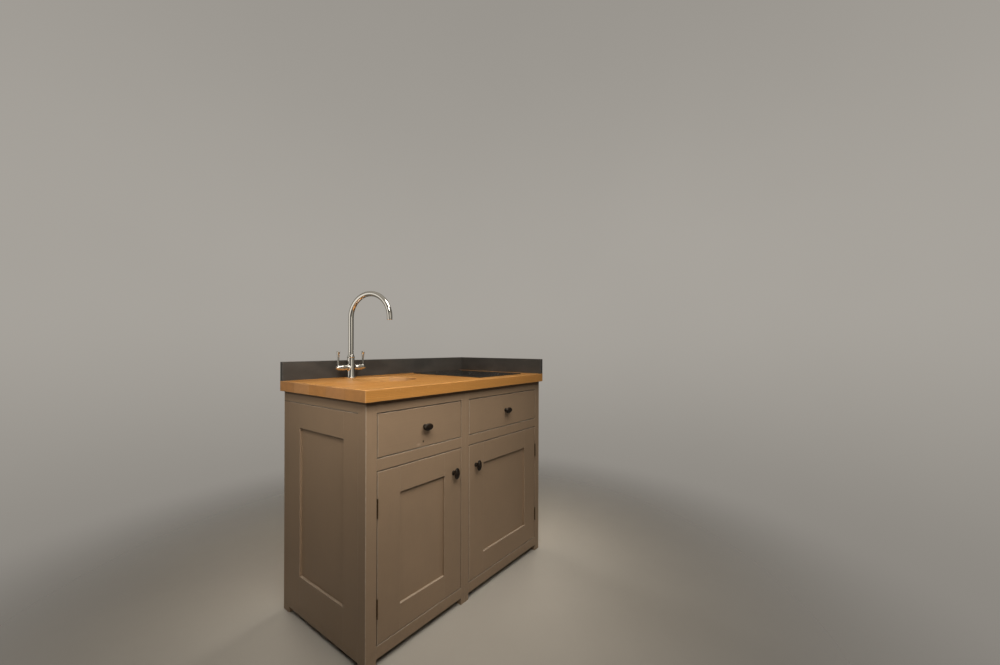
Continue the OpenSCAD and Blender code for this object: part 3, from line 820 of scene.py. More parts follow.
def mesh_object(name, verts, faces, smooth=True, angle=None, mats=None):
    me = bpy.data.meshes.new(name)
    me.from_pydata([tuple(v) for v in verts], [], [tuple(f) for f in faces])
    me.update()
    if mats is not None:
        me.polygons.foreach_set("material_index", mats)
    if smooth:
        me.polygons.foreach_set("use_smooth", [True] * len(me.polygons))
        if angle is not None:
            me.set_sharp_from_angle(angle=math.radians(angle))
    return link(me, name)


class Shape:
    """Collects solids for one mesh: points in drawing millimetres, faces, and a material number for each."""

    def __init__(self):
        self.v, self.f, self.m = [], [], []

    def add(self, verts, faces, mat=0):
        base = len(self.v)
        self.v.extend(verts)
        self.f.extend([tuple(i + base for i in f) for f in faces])
        self.m.extend([mat] * len(faces))

    def lathe(self, profile, origin, axis="z", segments=64, mat=0, scale=(1.0, 1.0), closed=False, turn=0.0):
        """Turns (radius, height) points round an axis through origin. The ends at radius 0 become single points; a closed profile joins its last point to its first. scale makes it oval."""
        ox, oy, oz = origin
        rows, verts = [], []
        for rad, h in profile:
            row = []
            count = 1 if rad < 1e-9 else segments
            for k in range(count):
                t = turn + 2 * math.pi * k / segments
                u, w = rad * math.cos(t) * scale[0], rad * math.sin(t) * scale[1]
                if axis == "z":
                    p = (ox + u, oy + w, oz + h)
                elif axis == "y":
                    p = (ox + u, oy + h, oz - w)
                else:
                    p = (ox + h, oy + u, oz + w)
                row.append(len(verts))
                verts.append(p)
            rows.append(row)
        faces = []
        pairs = list(zip(rows, rows[1:]))
        if closed:
            pairs.append((rows[-1], rows[0]))
        for a, b in pairs:
            for k in range(segments):
                k2 = (k + 1) % segments
                if len(a) == 1 and len(b) == 1:
                    continue
                if len(a) == 1:
                    faces.append((a[0], b[k2], b[k]))
                elif len(b) == 1:
                    faces.append((a[k], a[k2], b[0]))
                else:
                    faces.append((a[k], a[k2], b[k2], b[k]))
        self.add(verts, faces, mat)

    def prism(self, outline, axis, lo, hi, mat=0, ease=0.0, steps=2):
        """An outline extruded from lo to hi along an axis, with both ends' edges eased."""
        if ease > 0:
            turns = [math.pi / 2 * k / steps for k in range(steps + 1)]
            layers = [(lo + ease * (1 - math.cos(t)), ease * (1 - math.sin(t))) for t in turns]
            layers += [(hi + lo - h, s) for h, s in reversed(layers)]
        else:
            layers = [(lo, 0.0), (hi, 0.0)]
        pts = [Vector(p) for p in outline]
        n = len(pts)
        area = sum(pts[i].x * pts[(i + 1) % n].y - pts[(i + 1) % n].x * pts[i].y for i in range(n))
        if area < 0:
            pts.reverse()
        norms = []
        for i in range(n):
            e1 = (pts[i] - pts[i - 1]).normalized()
            e2 = (pts[(i + 1) % n] - pts[i]).normalized()
            n1, n2 = Vector((-e1.y, e1.x)), Vector((-e2.y, e2.x))
            m = n1 + n2
            norms.append(m / max(0.2, m.dot(n1)))
        verts = []
        for h, s in layers:
            for p, q in zip(pts, norms):
                a, b = p + q * s
                if axis == "z":
                    verts.append((a, b, h))
                elif axis == "y":
                    verts.append((b, h, a))
                else:
                    verts.append((h, a, b))
        faces = [tuple(range(n))[::-1]]
        for k in range(len(layers) - 1):
            for i in range(n):
                j = (i + 1) % n
                faces.append((k * n + i, k * n + j, (k + 1) * n + j, (k + 1) * n + i))
        faces.append(tuple(range((len(layers) - 1) * n, len(layers) * n)))
        self.add(verts, faces, mat)

    def box(self, lo, hi, mat=0, ease=0.0):
        self.prism([(lo[0], lo[1]), (hi[0], lo[1]), (hi[0], hi[1]), (lo[0], hi[1])], "z", lo[2], hi[2], mat, ease)

    def object(self, name, angle=38.0):
        ob = mesh_object(name, [D(*p) for p in self.v], self.f, True, None, self.m)
        bm = bmesh.new()
        bm.from_mesh(ob.data)
        bmesh.ops.recalc_face_normals(bm, faces=bm.faces)
        bm.to_mesh(ob.data)
        bm.free()
        ob.data.polygons.foreach_set("use_smooth", [True] * len(ob.data.polygons))
        ob.data.set_sharp_from_angle(angle=math.radians(angle))
        return ob


def arc(cx, cy, r, a0, a1, n):
    return [(cx + r * math.cos(math.radians(a0 + (a1 - a0) * k / n)), cy + r * math.sin(math.radians(a0 + (a1 - a0) * k / n))) for k in range(n + 1)]


def rounded(x0, y0, x1, y1, r, n=6):
    return (arc(x1 - r, y0 + r, r, -90, 0, n) + arc(x1 - r, y1 - r, r, 0, 90, n)
            + arc(x0 + r, y1 - r, r, 90, 180, n) + arc(x0 + r, y0 + r, r, 180, 270, n))


def spline(points, per=8):
    """A smooth line through the points."""
    p = [np.array(q, float) for q in points]
    p = [2 * p[0] - p[1]] + p + [2 * p[-1] - p[-2]]
    out = []
    for i in range(1, len(p) - 2):
        for k in range(per):
            t = k / per
            out.append(0.5 * (2 * p[i] + (p[i + 1] - p[i - 1]) * t + (2 * p[i - 1] - 5 * p[i] + 4 * p[i + 1] - p[i + 2]) * t * t
                              + (3 * p[i] - p[i - 1] - 3 * p[i + 1] + p[i + 2]) * t ** 3))
    out.append(p[-2])
    return [tuple(float(c) for c in q) for q in out]


# ------------------------------------------------------------------ timber pieces

CABINET_BOARDS = ["corner_post", "back_post", "centre_stile_left", "centre_stile_right", "right_stile", "left_rails", "right_rails",
                  "end_stiles", "end_rails", "end_top_rail", "end_panel", "left_cabinet_side", "left_cabinet_back", "left_cabinet_base",
                  "right_cabinet_left_side", "right_cabinet_right_side", "right_cabinet_base", "right_cabinet_back", "shelf",
                  "back_stretchers", "left_drawer_battens", "left_drawer_front", "worktop"]
BOARDS = {
    "cabinet": [b for n in CABINET_BOARDS for b in boxes_of(n)],
    "left_door": [b for n in ("left_door_stiles", "left_door_rails", "left_door_panel") for b in boxes_of(n)],
    "right_door": [b for n in ("right_door_stiles", "right_door_rails", "right_door_panel") for b in boxes_of(n)],
    "drawer": [b for n in ("drawer_front", "drawer_sides", "drawer_back", "drawer_bottom") for b in boxes_of(n)],
}



def outline_planes(nodes, radius):
    """The four outer sides of a door or drawer front, whose edges are eased more."""
    lo = np.min([b[0] for n in nodes for b in boxes_of(n)], 0)
    hi = np.max([b[1] for n in nodes for b in boxes_of(n)], 0)
    return [(a, v[a], radius, False) for a in (0, 2) for v in (lo, hi)]


for node in ("back_post", "centre_stile_left", "centre_stile_right", "right_stile", "left_rails", "right_rails"):
    timber(node + "_painted", node, "cabinet", PAINT, rj=0.0003)
timber("corner_post_painted", "corner_post", "cabinet", PAINT, r=0.0022, rj=0.0005)
# the end frame is a separate panel under its top rail, and the joint shows as a groove
groove = [(2, 0.830, 0.0026, True)]
for node in ("end_stiles", "end_rails", "end_top_rail"):
    timber(node + "_painted", node, "cabinet", PAINT, r=0.0010, planes=groove)
timber("left_drawer_front_painted", "left_drawer_front", "cabinet", PAINT, planes=outline_planes(["left_drawer_front"], 0.0019))
timber("end_panel_painted", "end_panel", "cabinet", PAINT, r=0.0006, grain=2)
for side in ("left", "right"):
    edge = outline_planes([side + "_door_stiles", side + "_door_rails"], 0.0019)
    timber(side + "_door_stiles_painted", side + "_door_stiles", side + "_door", PAINT, r=0.0010, planes=edge)
    timber(side + "_door_rails_painted", side + "_door_rails", side + "_door", PAINT, r=0.0010, planes=edge)
    timber(side + "_door_panel_painted", side + "_door_panel", side + "_door", PAINT, r=0.0006, grain=2)
timber("drawer_front_painted", "drawer_front", "drawer", PAINT, planes=outline_planes(["drawer_front"], 0.0019))

for node in ("left_cabinet_side", "right_cabinet_left_side", "right_cabinet_right_side"):
    timber(node + "_board", node, "cabinet", BIRCH, r=0.0007, grain=2, ply=True)
timber("right_cabinet_base_board", "right_cabinet_base", "cabinet", BIRCH, r=0.0007, grain=0, ply=True)
timber("shelf_board", "shelf", "cabinet", BIRCH, r=0.0010, grain=0, ply=True)
for node in ("left_cabinet_back", "right_cabinet_back"):
    timber(node + "_board", node, "cabinet", BIRCH, r=0.0005, grain=2, ply=True)
timber("back_stretchers_board", "back_stretchers", "cabinet", BIRCH, r=0.0008, grain=0, ply=True)
timber("left_drawer_battens_timber", "left_drawer_battens", "cabinet", BEECH, r=0.0008)
timber("drawer_sides_timber", "drawer_sides", "drawer", BEECH, r=0.0014, grain=1)
timber("drawer_back_timber", "drawer_back", "drawer", BEECH, r=0.0014, grain=0)
timber("drawer_bottom_board", "drawer_bottom", "drawer", BEECH, r=0.0004, grain=0)
for node in ("upstand_back", "upstand_right"):
    timber(node + "_slate", node, "cabinet", SLATE, r=0.0013, rj=0.00025)


def carried(node, mat, width=0.0007):
    """A CAD node that stays, with its edges eased by modifiers and a finish of its own."""
    ob = frame["nodes"][node]
    ob.data.polygons.foreach_set("use_smooth", [True] * len(ob.data.polygons))
    w = ob.modifiers.new("weld", "WELD")
    w.merge_threshold = 1e-6
    b = ob.modifiers.new("ease", "BEVEL")
    b.width = width
    b.limit_method = "ANGLE"
    b.angle_limit = math.radians(40)
    b.segments = 2
    weld_normals(ob)
    ob.data.materials.clear()
    ob.data.materials.append(mat)
    return ob


carried("left_cabinet_base", BIRCH_FLAT)
carried("drawer_runners", BEECH_RUNNER, 0.0005)
carried("hob_tray", COATED, 0.0006)


# ------------------------------------------------------------------ worktop

def worktop():
    bm = bmesh.new()
    z0, z1 = 870.0, 910.0

    def ring(points):
        return [bm.verts.new(D(x, y, z0)) for x, y in points]

    def loop(vs):
        return [bm.edges.new((vs[i], vs[(i + 1) % len(vs)])) for i in range(len(vs))]

    # a narrow border of quads runs along every edge that is eased
    rim, beside_rim = ring(arc(300, 305, 130, 0, 360, 144)[:-1]), ring(arc(300, 305, 139, 0, 360, 144)[:-1])
    edge = ring([(-17, -22), (1037, -22), (1037, 548), (-17, 548)])
    beside_edge = ring([(-9, -14), (1029, -14), (1029, 540), (-9, 540)])
    edges = loop(beside_edge)
    edges += loop(beside_rim)
    edges += loop(ring(arc(252, 482, 16, 0, 360, 32)[:-1]))
    edges += loop(ring(rounded(618, 48, 914, 474, 6, 5)))
    bmesh.ops.triangle_fill(bm, edges=edges, use_beauty=True, use_dissolve=False)
    holes = []
    for f in bm.faces:
        c = f.calc_center_median()
        x, y = c.x * 1000 + 510, c.y * 1000 + 260
        if math.hypot(x - 300, y - 305) < 138.5 or math.hypot(x - 252, y - 482) < 15.5 or (620 < x < 912 and 50 < y < 472):
            holes.append(f)
    bmesh.ops.delete(bm, geom=holes, context="FACES")
    for a, b in ((edge, beside_edge), (beside_rim, rim)):
        for i in range(len(a)):
            j = (i + 1) % len(a)
            bm.faces.new((a[i], a[j], b[j], b[i]))
    bmesh.ops.recalc_face_normals(bm, faces=bm.faces)
    got = bmesh.ops.extrude_face_region(bm, geom=bm.faces[:])
    top = [v for v in got["geom"] if isinstance(v, bmesh.types.BMVert)]
    for v in top:
        v.co.z = z1 / 1000.0
    bmesh.ops.recalc_face_normals(bm, faces=bm.faces)
    layer = bm.edges.layers.float.new("bevel_weight_edge")
    widest = 0.0032
    for e in bm.edges:
        if len(e.link_faces) != 2:
            continue
        a = e.link_faces[0].normal.angle(e.link_faces[1].normal, 0.0)
        if a < math.radians(30):
            continue
        m = (e.verts[0].co + e.verts[1].co) / 2
        x, y, z = m.x * 1000 + 510, m.y * 1000 + 260, m.z * 1000
        upper, lower = z > 909, z < 871
        r = 0.0
        if abs(x + 17) < 0.5 and (upper or lower):
            r = 0.0030 if upper else 0.0018
        elif abs(y + 22) < 0.5 and (upper or lower):
            r = 0.0030 if upper else 0.0018
        elif abs(x + 17) < 0.5 and abs(y + 22) < 0.5:
            r = 0.0032
        elif abs(math.hypot(x - 300, y - 305) - 130) < 1.0:
            r = 0.0030 if upper else 0.0006
        elif abs(y - 548) < 0.5 or abs(x - 1037) < 0.5:
            r = 0.0003
        e[layer] = r / widest
    me = bpy.data.meshes.new("worktop_oak")
    bm.to_mesh(me)
    bm.free()
    ob = link(me, "worktop_oak")
    b = ob.modifiers.new("ease", "BEVEL")
    b.width = widest
    b.limit_method = "WEIGHT"
    b.segments = 4
    b.use_clamp_overlap = False
    evaluated(ob)
    # the joints between the staves are cut once the edges are eased
    bm = bmesh.new()
    bm.from_mesh(ob.data)
    for y in STAVE_EDGES[1:-1]:
        bmesh.ops.bisect_plane(bm, geom=bm.verts[:] + bm.edges[:] + bm.faces[:], plane_co=D(0, y, 0), plane_no=(0, 1, 0), dist=1e-7)
    for f in bm.faces:
        f.smooth = abs(f.normal.z) < 0.9999
    bm.to_mesh(ob.data)
    bm.free()
    weld_normals(ob)
    evaluated(ob)
    lo, hi = boxes_of("worktop")[0]
    staves = []
    for y0, y1 in zip(STAVE_EDGES, STAVE_EDGES[1:]):
        l, h = lo.copy(), hi.copy()
        l[1], h[1] = (y0 - 260) / 1000, (y1 - 260) / 1000
        staves.append((l, h))
    grain_attributes(ob, staves, grain=0)
    # the given order of pale and dark staves, from the front
    me = ob.data
    nf = len(me.polygons)
    c = np.empty(nf * 3)
    me.polygons.foreach_get("center", c)
    y = c.reshape(-1, 3)[:, 1] * 1000 + 260
    k = np.clip(np.searchsorted(STAVE_EDGES, y) - 1, 0, 4)
    seeds = np.array([0.34, 0.78, 0.10, 0.95, 0.52])
    piths = np.array([(0.012, -0.055), (-0.045, -0.030), (0.030, -0.075), (-0.010, -0.040), (0.050, -0.060)])
    me.attributes["board"].data.foreach_set("value", seeds[k].astype(np.float32))
    me.attributes["ring"].data.foreach_set("vector", np.column_stack([piths[k], seeds[k]]).astype(np.float32).ravel())
    dress(ob, "cabinet", OAK, "worktop")


worktop()


# ------------------------------------------------------------------ knobs

def knob(name, node, body, x, z, upright):
    s = Shape()
    sx, sz = (13.5, 22.5) if upright else (22.5, 13.5)
    s.lathe([(0, -0.02), (9, -0.02), (9, -1.1), (8.7, -1.9), (8.1, -2.5), (7.0, -2.9), (6.0, -3.0), (0, -3.0)], (x, 0, z), "y", 48)
    stem = spline([(6.0, -2.6), (5.0, -4.2), (4.5, -7.5), (4.6, -11.0), (5.6, -14.0), (7.6, -16.2)], 5)
    s.lathe([(0, -2.4)] + stem + [(0, -17.5)], (x, 0, z), "y", 40)
    head = [(0.0, -15.0), (0.30, -15.05), (0.50, -15.35), (0.68, -15.95)]
    head += [(0.68 + 0.32 * math.sin(math.radians(t)), -19.9 + 3.95 * math.cos(math.radians(t))) for t in range(10, 91, 10)]
    head += [(math.cos(math.radians(t)) ** 0.80, -19.9 - 8.1 * math.sin(math.radians(t)) ** 1.15) for t in range(6, 90, 6)] + [(0.0, -28.0)]
    s.lathe([(r, h) for r, h in head], (x, 0, z), "y", 64, scale=(sx, sz))
    ob = s.object(name, 50)
    dress(ob, body, KNOB_IRON, node)


knob("left_drawer_knob_iron", "left_drawer_knob", "cabinet", 248, 755, False)
knob("drawer_knob_iron", "drawer_knob", "drawer", 745, 755, False)
knob("left_door_knob_iron", "left_door_knob", "left_door", 399.5, 548, True)
knob("right_door_knob_iron", "right_door_knob", "right_door", 534.5, 549, True)


# ------------------------------------------------------------------ hinges

def screw_head(s, centre, axis, sign, r=3.0, mat=1, turn=0.3):
    """A countersunk slotted head, its face just under the plate's."""
    c = np.array(centre, float)
    w = 0.42
    half = []
    for side in (1, -1):
        pts = []
        a0 = math.asin(w / r)
        for k in range(13):
            t = a0 + (math.pi - 2 * a0) * k / 12
            pts.append((r * math.cos(t), side * r * math.sin(t)))
        half.append(pts)
    for pts in half:
        out = []
        for u, v in pts:
            out.append((u * math.cos(turn) - v * math.sin(turn), u * math.sin(turn) + v * math.cos(turn)))
        if axis == "x":
            pr = [(c[1] + u, c[2] + v) for u, v in out]
            a, b = sorted((c[0], c[0] - sign * 0.75))
            s.prism(pr, "x", a, b, mat, 0.12)
        elif axis == "y":
            pr = [(c[2] + v, c[0] + u) for u, v in out]
            a, b = sorted((c[1], c[1] - sign * 0.75))
            s.prism(pr, "y", a, b, mat, 0.12)
        else:
            pr = [(c[0] + u, c[1] + v) for u, v in out]
            a, b = sorted((c[2], c[2] - sign * 0.75))
            s.prism(pr, "z", a, b, mat, 0.12)


def hinges(name, node, body, ax, side, on_frame):
    """Two butt hinges' leaves. side is the way from the pin to the frame."""
    s = Shape()
    sgn = side if on_frame else -side
    x0, x1 = sorted((ax + sgn * 0.32, ax + sgn * 1.5))
    for zc in (190.5, 518.5):
        z0 = zc - 32
        for k in range(5):
            if (k % 2 == 0) != on_frame:
                continue
            a, b = z0 + 12.8 * k + 0.1, z0 + 12.8 * (k + 1) - 0.1
            s.lathe([(0, a), (2.02, a), (2.3, a + 0.28), (2.3, b - 0.28), (2.02, b), (0, b)], (ax, -2, 0), "z", 32)
            # the wrap that carries the knuckle into its leaf
            s.box((x0, -1.4, a), (x1, 1.2, b), 0, 0.15)
        if on_frame:
            for e in (z0 + 0.25, z0 + 63.75):
                s.lathe([(0, -0.22), (1.3, -0.22), (1.6, 0), (1.3, 0.22), (0, 0.22)], (ax, -2, e), "z", 24)
        plate = [(y, z) for y, z in rounded(0.5, z0 + 0.1, 17, z0 + 63.9, 2.0, 4)]
        s.prism(plate, "x", x0, x1, 0, 0.2)
        for dz, y in ((-22, 8.5), (0, 11.5), (22, 8.5)):
            screw_head(s, (ax + sgn * 0.30, y, zc + dz), "x", -sgn, 2.7, 1, 0.4 + 0.03 * dz)
    ob = s.object(name, 40)
    dress(ob, body, [HINGE_IRON, KNOB_IRON], node)


hinges("left_frame_hinges_iron", "left_frame_hinges", "cabinet", 43.5, -1, True)
hinges("left_door_hinges_iron", "left_door_hinges", "left_door", 43.5, -1, False)
hinges("right_frame_hinges_iron", "right_frame_hinges", "cabinet", 998.5, 1, True)
hinges("right_door_hinges_iron", "right_door_hinges", "right_door", 998.5, 1, False)


# ------------------------------------------------------------------ bowl, waste and hob

def bowl():
    s = Shape()
    inner = [(146, 870), (132.2, 870)] + arc(132.2, 867.8, 2.2, 90, 180, 5)[1:] + [(130, 840), (130, 800)]
    inner += arc(90, 760, 40, 0, -90, 14) + [(75, 719.9), (60, 719.6), (48, 719.2), (46, 718.9)]
    outer = [(46, 717.6), (60, 718.1), (75, 718.4)] + arc(90, 760, 41.5, -90, 0, 14) + [(131.5, 800), (131.5, 840), (131.5, 866.5)]
    outer += arc(133.3, 866.7, 1.8, 180, 90, 3)[1:] + [(146, 868.5)]
    s.lathe([(r, h) for r, h in inner + outer], (300, 305, 0), "z", 144, closed=True)
    ob = s.object("sink_bowl_steel", 45)
    dress(ob, "cabinet", STEEL, "sink_bowl")
    s = Shape()
    zb = 720
    prof = [(44, zb - 0.4), (56, zb - 0.2), (55.8, zb + 0.5), (55, zb + 1.2), (54, zb + 1.5), (44, zb + 1.5), (41.6, zb + 1.0), (40.3, zb - 0.6), (40, zb - 2.4),
            (40, zb - 29), (39.2, zb - 31.2), (37, zb - 32.2), (22.4, zb - 33.4), (20.6, zb - 34.4), (20, zb - 36), (20, zb - 74.4), (20.4, zb - 75), (23.4, zb - 75)]
    z = zb - 74.6
    while z < zb - 46:
        prof += [(23.95, z), (23.95, z + 0.35), (23.15, z + 0.9), (23.15, z + 1.25)]
        z += 1.8
    prof += [(23.6, zb - 44), (23.6, zb - 37), (26, zb - 35.6), (43, zb - 34.2), (44, zb - 33.2), (44, zb - 1.4)]
    s.lathe(prof, (300, 305, 0), "z", 96, closed=True)
    s.lathe([(44.1, zb - 5.9), (55.4, zb - 5.9), (56, zb - 5.3), (56, zb - 2.1), (55.4, zb - 1.6), (44.1, zb - 1.6)], (300, 305, 0), "z", 96, closed=True)
    for t in (0.0, math.pi / 2):
        c, q = math.cos(t), math.sin(t)
        a, b = 20.2, 1.0
        pts = [(300 + c * u - q * v, 305 + q * u + c * v) for u, v in ((-a, -b), (a, -b), (a, b), (-a, b))]
        s.prism(pts, "z", zb - 37.4, zb - 35.4, 0, 0.4)
    s.lathe([(0, zb - 38.0), (3.4, zb - 38.0), (4.0, zb - 37.4), (4.0, zb - 35.6), (3.4, zb - 35.0), (0, zb - 34.8)], (300, 305, 0), "z", 32)
    ob = s.object("sink_waste_steel", 38)
    dress(ob, "cabinet", STEEL, "sink_waste")


bowl()


def hob():
    bm = bmesh.new()
    pts = rounded(606, 36, 926, 486, 6, 8)
    low = [bm.verts.new(D(x, y, 910.0)) for x, y in pts]
    high = [bm.verts.new(D(x, y, 915.0)) for x, y in pts]
    n = len(pts)
    for i in range(n):
        j = (i + 1) % n
        bm.faces.new((low[i], low[j], high[j], high[i]))
    bm.faces.new(high)
    bm.faces.new(low[::-1])
    bmesh.ops.recalc_face_normals(bm, faces=bm.faces)
    layer = bm.edges.layers.float.new("bevel_weight_edge")
    for e in bm.edges:
        if all(v.co.z > 0.9149 for v in e.verts):
            e[layer] = 1.0
        elif all(v.co.z < 0.9101 for v in e.verts):
            e[layer] = 0.3
    me = bpy.data.meshes.new("hob_glass_plate")
    bm.to_mesh(me)
    bm.free()
    me.polygons.foreach_set("use_smooth", [True] * len(me.polygons))
    ob = link(me, "hob_glass_plate")
    b = ob.modifiers.new("grind", "BEVEL")
    b.width = 0.0014
    b.limit_method = "WEIGHT"
    b.segments = 3
    b.use_clamp_overlap = False
    weld_normals(ob)
    evaluated(ob)
    n3 = np.empty(len(ob.data.polygons) * 3)
    ob.data.polygons.foreach_get("normal", n3)
    a = ob.data.attributes.new("arris", "FLOAT", "FACE")
    a.data.foreach_set("value", (np.abs(n3.reshape(-1, 3)[:, 2]) < 0.9999).astype(np.float32))
    dress(ob, "cabinet", HOB_GLASS, "hob_glass")


hob()


# ------------------------------------------------------------------ tap

def profile_distance(profile, rho, h):
    """Signed distance, negative inside, from points (rho, h) to a closed outline of (radius, height) points whose first and last lie on the axis."""
    p = np.array(profile, float)
    a, b = p[:-1], p[1:]
    q = np.stack([rho, h], 1)
    d = b - a
    t = np.clip(((q[:, None] - a[None]) * d[None]).sum(2) / np.maximum((d * d).sum(1), 1e-12)[None], 0, 1)
    near = a[None] + t[:, :, None] * d[None]
    dist = np.sqrt(((q[:, None] - near) ** 2).sum(2)).min(1)
    y0, y1 = a[None, :, 1], b[None, :, 1]
    cross = (y0 <= q[:, 1:2]) != (y1 <= q[:, 1:2])
    x = a[None, :, 0] + (q[:, 1:2] - y0) / np.where(np.abs(y1 - y0) < 1e-12, 1.0, y1 - y0) * (b[None, :, 0] - a[None, :, 0])
    right = (cross & (x > q[:, 0:1])).sum(1)
    inside = right % 2 == 1
    return np.where(inside, -dist, dist)


def smooth_union(a, b, k):
    h = np.clip(0.5 + 0.5 * (b - a) / k, 0, 1)
    return b * (1 - h) + a * h - k * h * (1 - h)


def blended(name, shape, field, voxel, rounds=5):
    """One skin over the shape's solids: remeshed, then pulled on to the field's zero surface, so that the joins are smooth curves."""
    ob = shape.object(name, 60)
    m = ob.modifiers.new("skin", "REMESH")
    m.mode = "VOXEL"
    m.voxel_size = voxel / 1000.0
    m.use_smooth_shade = True
    evaluated(ob)
    me = ob.data
    co = np.empty(len(me.vertices) * 3)
    me.vertices.foreach_get("co", co)
    v = co.reshape(-1, 3) * 1000.0 + np.array([510.0, 260.0, 0.0])
    eps = 0.02
    edges = np.empty(len(me.edges) * 2, int)
    me.edges.foreach_get("vertices", edges)
    edges = edges.reshape(-1, 2)
    count = np.bincount(edges.ravel(), minlength=len(v)).astype(float)[:, None]
    for it in range(rounds):
        f = field(v)
        g = np.stack([(field(v + eps * e) - f) / eps for e in np.eye(3)], 1)
        v = v - np.clip(f, -1.0, 1.0)[:, None] * g / np.maximum((g * g).sum(1), 1e-6)[:, None]
        if it < rounds - 2:  # even out the net along the surface
            mean = np.zeros_like(v)
            np.add.at(mean, edges[:, 0], v[edges[:, 1]])
            np.add.at(mean, edges[:, 1], v[edges[:, 0]])
            mean = mean / count
            n = g / np.maximum(np.linalg.norm(g, axis=1), 1e-6)[:, None]
            step = (mean - v) * 0.5
            v = v + step - (step * n).sum(1)[:, None] * n
    me.vertices.foreach_set("co", ((v - np.array([510.0, 260.0, 0.0])) / 1000.0).ravel())
    me.update()
    return ob


def cut(ob, point, normal):
    """Cuts the mesh at a plane, drops what lies along the normal, and closes the cut with a flat face."""
    bm = bmesh.new()
    bm.from_mesh(ob.data)
    got = bmesh.ops.bisect_plane(bm, geom=bm.verts[:] + bm.edges[:] + bm.faces[:], plane_co=point, plane_no=normal, clear_outer=True, dist=1e-6)
    edges = [e for e in got["geom_cut"] if isinstance(e, bmesh.types.BMEdge)]
    bmesh.ops.contextual_create(bm, geom=edges)
    bm.to_mesh(ob.data)
    bm.free()


def absorb(ob, *others):
    """Adds the other objects' meshes to ob's."""
    bm = bmesh.new()
    bm.from_mesh(ob.data)
    for o in others:
        bm.from_mesh(o.data)
    bm.to_mesh(ob.data)
    bm.free()
    for o in others:
        me = o.data
        bpy.data.objects.remove(o)
        bpy.data.meshes.remove(me)
    ob.data.polygons.foreach_set("use_smooth", [True] * len(ob.data.polygons))


TX, TY, TOP, ARM = 252.0, 482.0, 910.0, 955.0
BODY_LINE = [(19.2, 909.0), (18.9, 913.0), (18.3, 918.0), (17.7, 926.0), (16.8, 944.0), (15.8, 970.0), (15.1, 988.0), (14.8, 999.0)]
ARM_LINE = [(9.3, 0.0), (9.4, 10.0), (10.3, 18.0), (11.4, 27.0), (12.0, 37.0), (11.9, 45.0), (11.3, 52.0), (10.9, 56.0)]
HUB_LINE = [(11.1, 0.0), (10.9, 2.5), (10.5, 5.0), (9.9, 8.0), (9.0, 11.0), (7.9, 13.8), (6.6, 16.0), (5.1, 17.8), (3.4, 18.9), (1.6, 19.4)]


